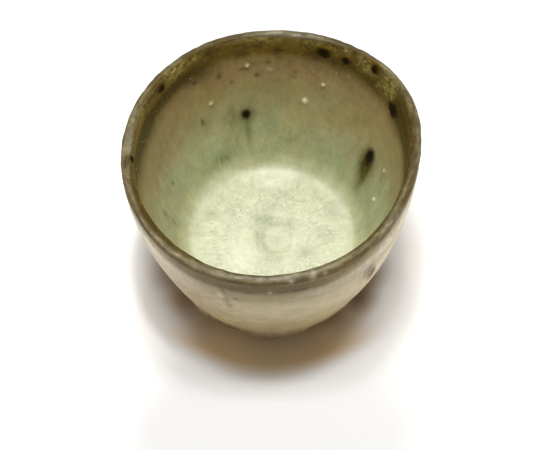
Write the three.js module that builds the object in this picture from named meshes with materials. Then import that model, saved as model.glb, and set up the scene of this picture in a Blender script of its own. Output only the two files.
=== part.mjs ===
// A hand-thrown stoneware soba choko: a small flared cup on a low turned foot ring.
// The clay is one thrown and turned piece. Over it lie the coats of glaze, and on the
// glaze lie the spots of iron and the beads that melted there in the kiln.
// Millimetres, +Z up. The origin is the middle of the foot, on the table.

import * as THREE from 'three';
import { mergeVertices } from 'three/addons/utils/BufferGeometryUtils.js';

// The cup as it is measured over its glaze
const MOUTH_DIAMETER = 82;
const CUP_HEIGHT = 60;
const LIP_THICKNESS = 3.1;
const WALL_THICKNESS = 4.6; // where the wall rises from the foot
const WALL_FULLNESS = 1.67; // 1 is a straight cone, 2 is a round belly
const WAIST_DIAMETER = 53.8; // the lowest edge of the wall, above the foot

// The turned foot and the floor
const FOOT_DIAMETER = 46;
const FOOT_RING_WIDTH = 5;
const FOOT_HEIGHT = 3.2;
const FOOT_TAPER = 0.5; // each side of the ring leans this much
const UNDERCUT_RISE = 1.3; // from the top of the foot out to the waist
const RECESS_DEPTH = 5; // under the cup, inside the ring
const FLOOR_THICKNESS = 7;
const FLOOR_DISH = 0.5; // how far the floor climbs from its middle to its fillet
const FLOOR_FILLET = 7;

// The coats of glaze
const GLAZE_THICKNESS = 0.5;
const SEAT_GAP = 0.2; // between a coat and what it lies on, and between two coats
const RIM_BAND_OUTSIDE = 6.5; // how far the iron glaze of the rim comes down
const RIM_BAND_INSIDE = 5.5;
const BARE_BAND = 2.2; // unglazed clay between the waist and the outside coat
const GLAZE_RIPPLE = 0.9; // how far the edges of the coats wander
const POOL_BEND = 57; // degrees round the fillet, from level, to where the pale floor glaze starts

// The mouth is out of round. Each lobe swells towards an angle, most at the rim.
const RIM_LOBES = [
  { count: 1, size: 0.47, towards: 90 },
  { count: 2, size: 0.98, towards: 54 },
  { count: 3, size: 0.53, towards: 29 },
  { count: 4, size: 0.31, towards: 35 },
  { count: 5, size: 0.15, towards: 31 },
];
const RIM_SWAY = [
  { count: 1, size: 0.11, towards: 41 },
  { count: 2, size: 0.15, towards: 57 },
  { count: 3, size: 0.09, towards: 46 },
];
const EDGE_RIPPLES = [
  { count: 3, size: 0.5, towards: 20 },
  { count: 7, size: 0.3, towards: 5 },
  { count: 11, size: 0.2, towards: 14 },
];

// Iron that ran down the inside wall: across the blob, up to its head and down its tail
const LEFT_RUN_WIDTH = 2.9;
const LEFT_RUN_HEAD = 1.5;
const LEFT_RUN_TAIL = 11;
const RIGHT_RUN_WIDTH = 3.8;
const RIGHT_RUN_HEAD = 3;
const RIGHT_RUN_TAIL = 13;

// An iron spot and a bead of glaze of size 1
const SPOT_WIDTH = 3;
const SPOT_HEAD = 1.4;
const SPOT_TAIL = 1.8;
const BEAD_WIDTH = 1.5;
const BEAD_HEAD = 0.7;
const BEAD_TAIL = 0.8;

// The run of glaze and the smear of iron on the outside
const GLAZE_RUN_WIDTH = 2.6;
const GLAZE_RUN_HEAD = 2.4;
const GLAZE_RUN_TAIL = 9;
const SMEAR_WIDTH = 3.4;
const SMEAR_HEAD = 4.5;
const SMEAR_TAIL = 8;

// Marks on the inside. angle is in degrees from +X, down is the share of the wall from the
// lip to the fillet, and drift is how far the tail swings aside, as a share of its length.
const IRON_RUNS = [
  {
    name: 'iron_run_left',
    angle: 103.2,
    down: 0.665,
    width: LEFT_RUN_WIDTH,
    head: LEFT_RUN_HEAD,
    tail: LEFT_RUN_TAIL,
    drift: -0.05,
  },
  {
    name: 'iron_run_right',
    angle: 30.4,
    down: 0.66,
    width: RIGHT_RUN_WIDTH,
    head: RIGHT_RUN_HEAD,
    tail: RIGHT_RUN_TAIL,
    drift: -0.15,
  },
];
const RIM_IRON_SPOTS = [
  { angle: 67.6, down: 0.055, size: 1.4, drift: -0.24 },
  { angle: 57.3, down: 0.06, size: 0.9, drift: 0.12 },
  { angle: 43.6, down: -0.012, size: 0.9, drift: 0 },
  { angle: 28.3, down: 0.14, size: 1.5, drift: -0.15 },
  { angle: 144.3, down: 0.01, size: 1.05, drift: -0.32 },
  { angle: 183.7, down: -0.016, size: 0.8, drift: -0.55 },
];
const GLAZE_BEADS = [
  { angle: 73.5, down: 0.545, size: 1.45, drift: 0 },
  { angle: 120.3, down: 0.48, size: 1, drift: 0 },
  { angle: 65.8, down: 0.365, size: 0.9, drift: 0 },
  { angle: 100.8, down: 0.235, size: 1.1, drift: 0 },
  { angle: 12.8, down: 0.845, size: 1.05, drift: 0 },
  { angle: 17.3, down: 0.6, size: 0.95, drift: 0 },
];

// Marks on the outside. up is the share of the wall from the waist to the lip.
const GLAZE_RUN = {
  angle: 251,
  up: 0.72,
  width: GLAZE_RUN_WIDTH,
  head: GLAZE_RUN_HEAD,
  tail: GLAZE_RUN_TAIL,
  drift: 0.29,
};
const IRON_SMEAR = {
  angle: 315.2,
  up: 0.68,
  width: SMEAR_WIDTH,
  head: SMEAR_HEAD,
  tail: SMEAR_TAIL,
  drift: 0.05,
};

// How the marks stand up from the glaze
const IRON_HEIGHT = 0.5;
const BEAD_HEIGHT = 0.7;
const RUN_HEIGHT = 0.6;
const TAIL_TAPER = 1.8; // 1 is an oval, more draws the tail out thin

// How finely the surfaces are cut
const TURN_STEPS = 48;
const WALL_STEPS = 7;
const BAND_STEPS = 2;
const LIP_STEPS = 5;
const FILLET_STEPS = 4;
const POOL_STEPS = 2;
const FLOOR_STEPS = 2;
const MARK_POINTS = 12;
const MARK_RINGS = 3;

// Heights and radii that follow from the driving dimensions
const MOUTH_RADIUS = MOUTH_DIAMETER / 2;
const WAIST_RADIUS = WAIST_DIAMETER / 2;
const WAIST_HEIGHT = FOOT_HEIGHT + UNDERCUT_RISE;
const LIP_RADIUS = LIP_THICKNESS / 2;
const LIP_CENTRE_HEIGHT = CUP_HEIGHT - LIP_RADIUS;
const LIP_CENTRE_RADIUS = MOUTH_RADIUS - LIP_RADIUS;
const WALL_RISE = LIP_CENTRE_HEIGHT - WAIST_HEIGHT;
const CLAY_DEPTH = GLAZE_THICKNESS + SEAT_GAP;
const FLOOR_HEIGHT = RECESS_DEPTH + FLOOR_THICKNESS + CLAY_DEPTH;
const FILLET_CENTRE_HEIGHT = FLOOR_HEIGHT + FLOOR_DISH + FLOOR_FILLET;
const FILLET_LEAN = insideLean(
  FILLET_CENTRE_HEIGHT - FLOOR_FILLET * Math.sin(insideLean(FILLET_CENTRE_HEIGHT)),
);
const FILLET_START = FILLET_CENTRE_HEIGHT - FLOOR_FILLET * Math.sin(FILLET_LEAN);
const FILLET_CENTRE_RADIUS = innerRadius(FILLET_START) - FLOOR_FILLET * Math.cos(FILLET_LEAN);
const WALL_LENGTH = Math.hypot(
  LIP_CENTRE_HEIGHT - FILLET_START,
  innerRadius(LIP_CENTRE_HEIGHT) - innerRadius(FILLET_START),
);
const FILLET_END = WALL_LENGTH + FLOOR_FILLET * (Math.PI / 2 - FILLET_LEAN);
const INSIDE_LENGTH = FILLET_END + FILLET_CENTRE_RADIUS;

function wallShare(height) {
  return (height - WAIST_HEIGHT) / WALL_RISE;
}

function outerRadius(height) {
  const left = Math.max(0, 1 - wallShare(height));
  return WAIST_RADIUS + (MOUTH_RADIUS - WAIST_RADIUS) * (1 - left ** WALL_FULLNESS);
}

function innerRadius(height) {
  return outerRadius(height) - THREE.MathUtils.lerp(WALL_THICKNESS, LIP_THICKNESS, wallShare(height));
}

// How far each side of the wall leans outwards at a height, as an angle from upright.
function outsideLean(height) {
  const left = Math.max(0, 1 - wallShare(height));
  return Math.atan2((MOUTH_RADIUS - WAIST_RADIUS) * WALL_FULLNESS * left ** (WALL_FULLNESS - 1), WALL_RISE);
}

function insideLean(height) {
  return Math.atan(Math.tan(outsideLean(height)) + (WALL_THICKNESS - LIP_THICKNESS) / WALL_RISE);
}

// Each of these three gives [radius, height] on the glazed surface, or under it by depth.
function outsideAt(height, depth) {
  const lean = outsideLean(height);
  return [outerRadius(height) - depth * Math.cos(lean), height + depth * Math.sin(lean)];
}

function lipAt(turn, depth) {
  const reach = LIP_RADIUS - depth;
  return [LIP_CENTRE_RADIUS + reach * Math.cos(turn), LIP_CENTRE_HEIGHT + reach * Math.sin(turn)];
}

// distance runs from the lip down the wall, round the fillet and over the floor to the axis.
// Below 0 it goes back over the lip.
function insideAt(distance, depth) {
  if (distance < 0) return lipAt(Math.PI + distance / LIP_RADIUS, depth);
  if (distance <= WALL_LENGTH) {
    const height = THREE.MathUtils.lerp(LIP_CENTRE_HEIGHT, FILLET_START, distance / WALL_LENGTH);
    const lean = insideLean(height);
    return [innerRadius(height) + depth * Math.cos(lean), height - depth * Math.sin(lean)];
  }
  const bend = FILLET_LEAN + (distance - WALL_LENGTH) / FLOOR_FILLET;
  if (bend < Math.PI / 2) {
    const reach = FLOOR_FILLET + depth;
    return [FILLET_CENTRE_RADIUS + reach * Math.cos(bend), FILLET_CENTRE_HEIGHT - reach * Math.sin(bend)];
  }
  const radius = Math.max(0, INSIDE_LENGTH - distance);
  const climb = FLOOR_DISH * (radius / FILLET_CENTRE_RADIUS) ** 2;
  return [radius, FLOOR_HEIGHT + climb - depth];
}

function waves(lobes, angle) {
  let sum = 0;
  for (const { count, size, towards } of lobes) {
    sum += size * Math.cos(count * (angle - THREE.MathUtils.degToRad(towards)));
  }
  return sum;
}

// The throwing leaves the foot round and flat and the mouth out of round.
function thrown([radius, height], angle) {
  const rise = (height / CUP_HEIGHT) ** 2;
  const swollen = radius * (1 + (rise * waves(RIM_LOBES, angle)) / MOUTH_RADIUS);
  const lifted = height + (rise * waves(RIM_SWAY, angle) * radius) / MOUTH_RADIUS;
  return [swollen * Math.cos(angle), swollen * Math.sin(angle), lifted];
}

// Points from first to last, both included.
function steps(first, last, count, pointAt) {
  const points = [];
  for (let step = 0; step <= count; step += 1) {
    points.push(pointAt(THREE.MathUtils.lerp(first, last, step / count)));
  }
  return points;
}

function outsideSteps(first, last, count, depth) {
  return steps(first, last, count, (height) => outsideAt(height, depth));
}

// The two ends of the lip belong to the walls.
function lipSteps(depth) {
  return steps(0, Math.PI, LIP_STEPS, (turn) => lipAt(turn, depth)).slice(1, -1);
}

function insideSteps(first, last, count, depth) {
  return steps(first, last, count, (distance) => insideAt(distance, depth));
}

function solid(vertices, triangles) {
  const geometry = new THREE.BufferGeometry();
  geometry.setAttribute('position', new THREE.Float32BufferAttribute(vertices.flat(), 3));
  geometry.setIndex(triangles.flat());
  return mergeVertices(geometry);
}

// Skins a section round the axis. sectionAt(angle) goes round the material anticlockwise,
// with the same number of points at every angle. Where it touches the axis it closes there.
function turned(sectionAt) {
  const vertices = [];
  const triangles = [];
  const onAxis = [];
  let count = 0;
  for (let turn = 0; turn < TURN_STEPS; turn += 1) {
    const angle = (turn / TURN_STEPS) * 2 * Math.PI;
    const section = sectionAt(angle);
    count = section.length;
    for (const point of section) {
      vertices.push(thrown(point, angle));
      onAxis.push(point[0] === 0);
    }
  }
  for (let turn = 0; turn < TURN_STEPS; turn += 1) {
    const near = turn * count;
    const far = ((turn + 1) % TURN_STEPS) * count;
    for (let point = 0; point < count; point += 1) {
      const next = (point + 1) % count;
      if (!onAxis[near + point]) triangles.push([near + point, far + point, far + next]);
      if (!onAxis[near + next]) triangles.push([near + point, far + next, near + next]);
    }
  }
  return solid(vertices, triangles);
}

// A coat is a stretch of surface with its own back, which lies on the clay.
function coat(frontAt) {
  return turned((angle) => {
    const front = frontAt(angle, 0);
    const back = frontAt(angle, GLAZE_THICKNESS).reverse();
    return [...front, ...back];
  });
}

// Where the coats end, at each angle
function rimEdgeOutside(angle) {
  return CUP_HEIGHT - RIM_BAND_OUTSIDE + GLAZE_RIPPLE * waves(EDGE_RIPPLES, angle);
}

function rimEdgeInside(angle) {
  return RIM_BAND_INSIDE + GLAZE_RIPPLE * waves(EDGE_RIPPLES, -angle);
}

function outsideEdge(angle) {
  return WAIST_HEIGHT + BARE_BAND + GLAZE_RIPPLE * waves(EDGE_RIPPLES, angle + Math.PI);
}

function poolEdge(angle) {
  const bend = THREE.MathUtils.degToRad(POOL_BEND) - FILLET_LEAN;
  return WALL_LENGTH + FLOOR_FILLET * bend + GLAZE_RIPPLE * waves(EDGE_RIPPLES, angle);
}

function clayBody() {
  const ring = FOOT_DIAMETER / 2;
  const recess = ring - FOOT_RING_WIDTH;
  const foot = [
    [0, RECESS_DEPTH],
    [recess - FOOT_TAPER, RECESS_DEPTH],
    [recess, 0],
    [ring, 0],
    [ring - FOOT_TAPER, FOOT_HEIGHT],
  ];
  const section = [
    ...foot,
    ...outsideSteps(WAIST_HEIGHT, LIP_CENTRE_HEIGHT, WALL_STEPS, CLAY_DEPTH),
    ...lipSteps(CLAY_DEPTH),
    ...insideSteps(0, WALL_LENGTH, WALL_STEPS, CLAY_DEPTH),
    ...insideSteps(WALL_LENGTH, FILLET_END, FILLET_STEPS, CLAY_DEPTH).slice(1),
    ...insideSteps(FILLET_END, INSIDE_LENGTH, FLOOR_STEPS, CLAY_DEPTH).slice(1),
  ];
  return turned(() => section);
}

function outsideGlaze() {
  return coat((angle, depth) =>
    outsideSteps(outsideEdge(angle), rimEdgeOutside(angle) - SEAT_GAP, WALL_STEPS, depth),
  );
}

function rimGlaze() {
  return coat((angle, depth) => [
    ...outsideSteps(rimEdgeOutside(angle), LIP_CENTRE_HEIGHT, BAND_STEPS, depth),
    ...lipSteps(depth),
    ...insideSteps(0, rimEdgeInside(angle), BAND_STEPS, depth),
  ]);
}

function insideGlaze() {
  return coat((angle, depth) => [
    ...insideSteps(rimEdgeInside(angle) + SEAT_GAP, WALL_LENGTH, WALL_STEPS, depth),
    ...insideSteps(WALL_LENGTH, poolEdge(angle), FILLET_STEPS, depth).slice(1),
  ]);
}

function wellGlaze() {
  return coat((angle, depth) => [
    ...insideSteps(poolEdge(angle) + SEAT_GAP, FILLET_END, POOL_STEPS, depth),
    ...insideSteps(FILLET_END, INSIDE_LENGTH, FLOOR_STEPS, depth).slice(1),
  ]);
}

// A low mound on the glaze: round above its middle, drawn out to a tail below.
// surfaceAt(up, depth) is the glaze there, and outward is false on the inside of the cup.
function mound(mark, height, surfaceAt, outward) {
  const vertices = [];
  const triangles = [];
  const middle = THREE.MathUtils.degToRad(mark.angle);
  const middleRadius = surfaceAt(0, 0)[0];

  function vertex(share, turn, swell) {
    const reach = Math.sin(turn) > 0 ? mark.head : mark.tail;
    const taper = Math.sin(turn) > 0 ? 1 : TAIL_TAPER;
    const up = share * reach * Math.sin(turn);
    const sway = up < 0 ? (mark.drift * up ** 2) / mark.tail : 0;
    const half = (mark.width / 2) * Math.abs(Math.cos(turn)) ** taper;
    const aside = share * half * Math.sign(Math.cos(turn)) + sway;
    const point = surfaceAt(up, -SEAT_GAP - swell);
    return thrown(point, middle + aside / middleRadius);
  }

  function triangle(a, b, c) {
    triangles.push(outward ? [a, b, c] : [a, c, b]);
  }

  const topMiddle = vertices.push(vertex(0, 0, height)) - 1;
  const baseMiddle = vertices.push(vertex(0, 0, 0)) - 1;
  const firstRing = vertices.length;
  for (let ring = 1; ring <= MARK_RINGS; ring += 1) {
    const share = ring / MARK_RINGS;
    for (let point = 0; point < MARK_POINTS; point += 1) {
      const turn = (point / MARK_POINTS) * 2 * Math.PI;
      vertices.push(vertex(share, turn, height * (1 - share ** 2)));
      vertices.push(vertex(share, turn, 0));
    }
  }
  const ringSize = 2 * MARK_POINTS;
  for (let point = 0; point < MARK_POINTS; point += 1) {
    const top = firstRing + 2 * point;
    const topNext = firstRing + 2 * ((point + 1) % MARK_POINTS);
    triangle(topMiddle, top, topNext);
    triangle(baseMiddle, topNext + 1, top + 1);
    for (let ring = 1; ring < MARK_RINGS; ring += 1) {
      const inner = (ring - 1) * ringSize;
      const outer = ring * ringSize;
      triangle(top + inner, top + outer, topNext + outer);
      triangle(top + inner, topNext + outer, topNext + inner);
      triangle(top + inner + 1, topNext + outer + 1, top + outer + 1);
      triangle(top + inner + 1, topNext + inner + 1, topNext + outer + 1);
    }
  }
  return solid(vertices, triangles);
}

function sized(mark, width, head, tail) {
  return { ...mark, width: mark.size * width, head: mark.size * head, tail: mark.size * tail };
}

function insideMound(mark, height) {
  const place = mark.down * WALL_LENGTH;
  return mound(mark, height, (up, depth) => insideAt(place - up, depth), false);
}

function outsideMound(mark, height) {
  const place = WAIST_HEIGHT + mark.up * WALL_RISE;
  return mound(mark, height, (up, depth) => outsideAt(place + up, depth), true);
}

const CLAY = { color: 0x84654a, roughness: 0.9, metalness: 0 };
const CREAM_GLAZE = { color: 0xb8a985, roughness: 0.35, metalness: 0 };
const CELADON_GLAZE = { color: 0x95946a, roughness: 0.25, metalness: 0 };
const IRON_GLAZE = { color: 0x5c4e30, roughness: 0.3, metalness: 0 };
const PALE_GLAZE = { color: 0xe0e2ba, roughness: 0.25, metalness: 0 };
const MELTED_IRON = { color: 0x2a2415, roughness: 0.25, metalness: 0 };
const BEAD_GLAZE = { color: 0xd9d3b4, roughness: 0.2, metalness: 0 };
const SMEAR_GLAZE = { color: 0x6e6750, roughness: 0.4, metalness: 0 };

const cup = new THREE.Group();

function addPiece(name, geometry, finish) {
  geometry.computeVertexNormals();
  const piece = new THREE.Mesh(geometry, new THREE.MeshStandardMaterial(finish));
  piece.name = name;
  cup.add(piece);
}

addPiece('clay_body', clayBody(), CLAY);
addPiece('outside_glaze', outsideGlaze(), CREAM_GLAZE);
addPiece('rim_glaze', rimGlaze(), IRON_GLAZE);
addPiece('inside_glaze', insideGlaze(), CELADON_GLAZE);
addPiece('well_glaze', wellGlaze(), PALE_GLAZE);

for (const run of IRON_RUNS) {
  addPiece(run.name, insideMound(run, IRON_HEIGHT), MELTED_IRON);
}
RIM_IRON_SPOTS.forEach((spot, index) => {
  const mark = sized(spot, SPOT_WIDTH, SPOT_HEAD, SPOT_TAIL);
  addPiece(`rim_iron_spot_${index + 1}`, insideMound(mark, IRON_HEIGHT), MELTED_IRON);
});
GLAZE_BEADS.forEach((bead, index) => {
  const mark = sized(bead, BEAD_WIDTH, BEAD_HEAD, BEAD_TAIL);
  addPiece(`glaze_bead_${index + 1}`, insideMound(mark, BEAD_HEIGHT), BEAD_GLAZE);
});
addPiece('outside_glaze_run', outsideMound(GLAZE_RUN, RUN_HEIGHT), CREAM_GLAZE);
addPiece('outside_iron_smear', outsideMound(IRON_SMEAR, IRON_HEIGHT), SMEAR_GLAZE);

export default cup;
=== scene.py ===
"""A hand-thrown soba choko cup: its clay, glazes, kiln marks and a plain studio, in metres."""

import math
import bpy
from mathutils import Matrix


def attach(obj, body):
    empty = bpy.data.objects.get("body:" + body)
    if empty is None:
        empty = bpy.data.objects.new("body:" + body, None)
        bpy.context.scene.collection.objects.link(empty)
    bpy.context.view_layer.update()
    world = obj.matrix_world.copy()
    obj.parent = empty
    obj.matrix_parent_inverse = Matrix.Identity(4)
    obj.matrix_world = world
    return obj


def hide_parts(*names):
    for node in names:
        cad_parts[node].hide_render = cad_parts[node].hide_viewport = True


bl_info = {
    "name": "Soba Choko Cup",
    "version": (1, 0, 0),
    "blender": (4, 5, 0),
    "location": "View3D > Sidebar > Soba Choko",
    "description": "Dresses a thrown cup with its glazes and kiln marks, and lights it",
    "category": "Add Mesh",
}

import bmesh
import bpy
import numpy as np
from bpy.props import FloatProperty, FloatVectorProperty, PointerProperty
from mathutils import Vector, noise

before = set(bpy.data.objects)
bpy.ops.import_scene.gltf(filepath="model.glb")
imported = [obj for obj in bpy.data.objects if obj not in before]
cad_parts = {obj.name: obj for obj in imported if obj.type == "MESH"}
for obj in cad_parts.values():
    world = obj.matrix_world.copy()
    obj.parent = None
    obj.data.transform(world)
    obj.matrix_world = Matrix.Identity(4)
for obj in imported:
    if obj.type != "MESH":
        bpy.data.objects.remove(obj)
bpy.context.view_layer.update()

MM = 0.001
BODY = "root"

# The mouth is out of round: how many lobes, how far each swells and towards which angle
RIM_LOBES = (
    (1, 0.47 * MM, 90),
    (2, 0.98 * MM, 54),
    (3, 0.53 * MM, 29),
    (4, 0.31 * MM, 35),
    (5, 0.15 * MM, 31),
)
RIM_SWAY = (
    (1, 0.11 * MM, 41),
    (2, 0.15 * MM, 57),
    (3, 0.09 * MM, 46),
)
# Where the lip was pinched thinner on its inside: towards which angle, half width in degrees, the
# middle and half length along the path and the depth in millimetres
LIP_PINCH = (276, 40, 1.7 * MM, 1.3 * MM, 0.35)
# Dents of the wall and lumps of the lip: depth in millimetres and how many to a metre
WALL_DENTS = ((0.20, 45), (0.05, 190))
LIP_LUMPS = ((0.15, 230), (0.13, 520))
LIP_REACH = 4 * MM
# The dents start above the foot, between these heights
DENTS_START = (2 * MM, 10 * MM)
# The fingers' ridges outside: depth in millimetres, spacing, how many sways to a metre, and where
# they start along the path under the lip and in height above the foot
RIDGE_DEPTH = 0.03
RIDGE_PITCH = 4.8 * MM
RIDGE_SWAY = 60
RIDGES_UNDER_LIP = (-8 * MM, -14 * MM)
RIDGES_OVER_FOOT = (6 * MM, 14 * MM)
# The roll over the foot: its thickness, how much thicker it is in front, and its lumps by depth (all in
# millimetres) and fineness, then the unit in which its crest and its half reach up the wall are counted
ROLL_THICKNESS = 0.40
ROLL_IN_FRONT = 0.65
ROLL_NOISE = ((0.35, 5), (0.12, 14))
ROLL_UNIT = 1.3 * MM
ROLL_CREST = 0.9
ROLL_REACH = 1.2
# Where the roll over the foot is thicker or thinner: towards which angle, half width in degrees and
# how much in millimetres
ROLL_LUMPS = (
    (249, 5, -0.55),
    (268, 12, 0.85),
    (298, 12, -0.75),
)
# The edges of the coats wander by a share of the glaze ripple
EDGE_RIPPLES = (
    (3, 0.5, 20),
    (7, 0.3, 5),
    (11, 0.2, 14),
)

# Marks inside: name, angle, share of the wall from the lip down to the fillet, width, reach up and
# reach down in millimetres, then the tail's drift and the black core's end as shares of the tail
IRON_RUNS = (
    ("iron_run_left", 103.2, 0.665, 2.9, 1.5, 11, -0.05, 0.18),
    ("iron_run_right", 30.4, 0.66, 3.8, 3.0, 13, -0.15, 0.30),
)
# Spots and beads: name, angle, share of the wall from the lip down to the fillet, size and drift
RIM_IRON_SPOTS = (
    ("rim_iron_spot_1", 67.6, 0.055, 1.40, -0.24),
    ("rim_iron_spot_2", 57.3, 0.060, 0.90, 0.12),
    ("rim_iron_spot_3", 43.6, -0.012, 0.90, 0.0),
    ("rim_iron_spot_4", 28.3, 0.140, 1.50, -0.15),
    ("rim_iron_spot_5", 144.3, 0.010, 1.05, -0.32),
    ("rim_iron_spot_6", 183.7, -0.016, 0.80, -0.55),
)
SPOT_SIZE = (3.0, 1.4, 1.8)
GLAZE_BEADS = (
    ("glaze_bead_1", 73.5, 0.545, 1.45, 0.0),
    ("glaze_bead_2", 120.3, 0.480, 1.00, 0.0),
    ("glaze_bead_3", 65.8, 0.365, 0.90, 0.0),
    ("glaze_bead_4", 100.8, 0.235, 1.10, 0.0),
    ("glaze_bead_5", 12.8, 0.845, 1.05, 0.0),
    ("glaze_bead_6", 17.3, 0.600, 0.95, 0.0),
)
BEAD_SIZE = (1.5, 0.7, 0.8)
# Beads that the glaze of the wall half covers
DULL_BEADS = ("glaze_bead_2", "glaze_bead_3", "glaze_bead_4", "glaze_bead_6")
# Marks outside: the share is of the wall from the waist up to the lip
OUTSIDE_RUN = ("outside_glaze_run", 251, 0.72, 2.6, 2.4, 9, 0.29, 1.0)
OUTSIDE_SMEAR = ("outside_iron_smear", 315.2, 0.68, 3.4, 4.5, 8, 0.05, 1.0)
# How high each kind of mark stands and how far its thin skirt runs out in millimetres
IRON_MOUND = (0.35 * MM, 0.6)
BEAD_MOUND = (0.55 * MM, 0.35)
OUTSIDE_MOUND = (0.4 * MM, 0.4)
# A mark's edge: how ragged it is, how fast a tail narrows and how deep its edge and its base sink
MARK_RAGGED = 0.16
TAIL_TAPER = 1.8
MARK_SINK = 0.03 * MM
MARK_BASE = 0.1 * MM

# The glaze along the path over the lip: millimetres from the crest, negative outside, then the
# colour, how far that colour wanders in millimetres and how rough the glaze is there
TONES = (
    # The lowest stops darken the outside towards the foot: the roll's own colour and painted shade where the
    # wall meets the table's shadow
    (-60, "foot_roll_and_shade", 0.8, 0.60),
    (-53.4, "foot_roll_and_shade", 0.8, 0.60),
    (-50.5, "foot_tan", 1.5, 0.48),
    (-46, "foot_tan", 3.0, 0.42),
    (-36, "wall_beige", 3.0, 0.38),
    (-27, "wall_cream", 3.0, 0.36),
    (-18, "wall_cream", 2.0, 0.36),
    (-11.5, "wall_olive", 1.8, 0.38),
    (-3.4, "wall_olive", 0.8, 0.40),
    (-2.5, "band_dark", 0.6, 0.40),
    (-1.6, "lip_edge", 0.4, 0.38),
    (-1.0, "lip_crest", 0.3, 0.34),
    (0.1, "lip_crest", 0.3, 0.34),
    (0.6, "lip_inner", 0.4, 0.38),
    (1.6, "lip_inner", 0.5, 0.42),
    (2.6, "rim_olive", 0.8, 0.42),
    (7.6, "rim_olive", 3.0, 0.42),
    (10.6, "wall_brown", 3.4, 0.40),
    (17, "wall_umber", 4.0, 0.38),
    (27, "wall_khaki", 5.0, 0.38),
    (36, "wall_celadon", 5.0, 0.38),
    (47.0, "wall_celadon", 1.2, 0.42),
    (49.4, "well_edge", 0.9, 0.50),
    (52.2, "well_pale", 0.7, 0.50),
    (58.0, "well_pale", 0.6, 0.30),
    (76, "well_pale", 0.6, 0.30),
)

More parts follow.
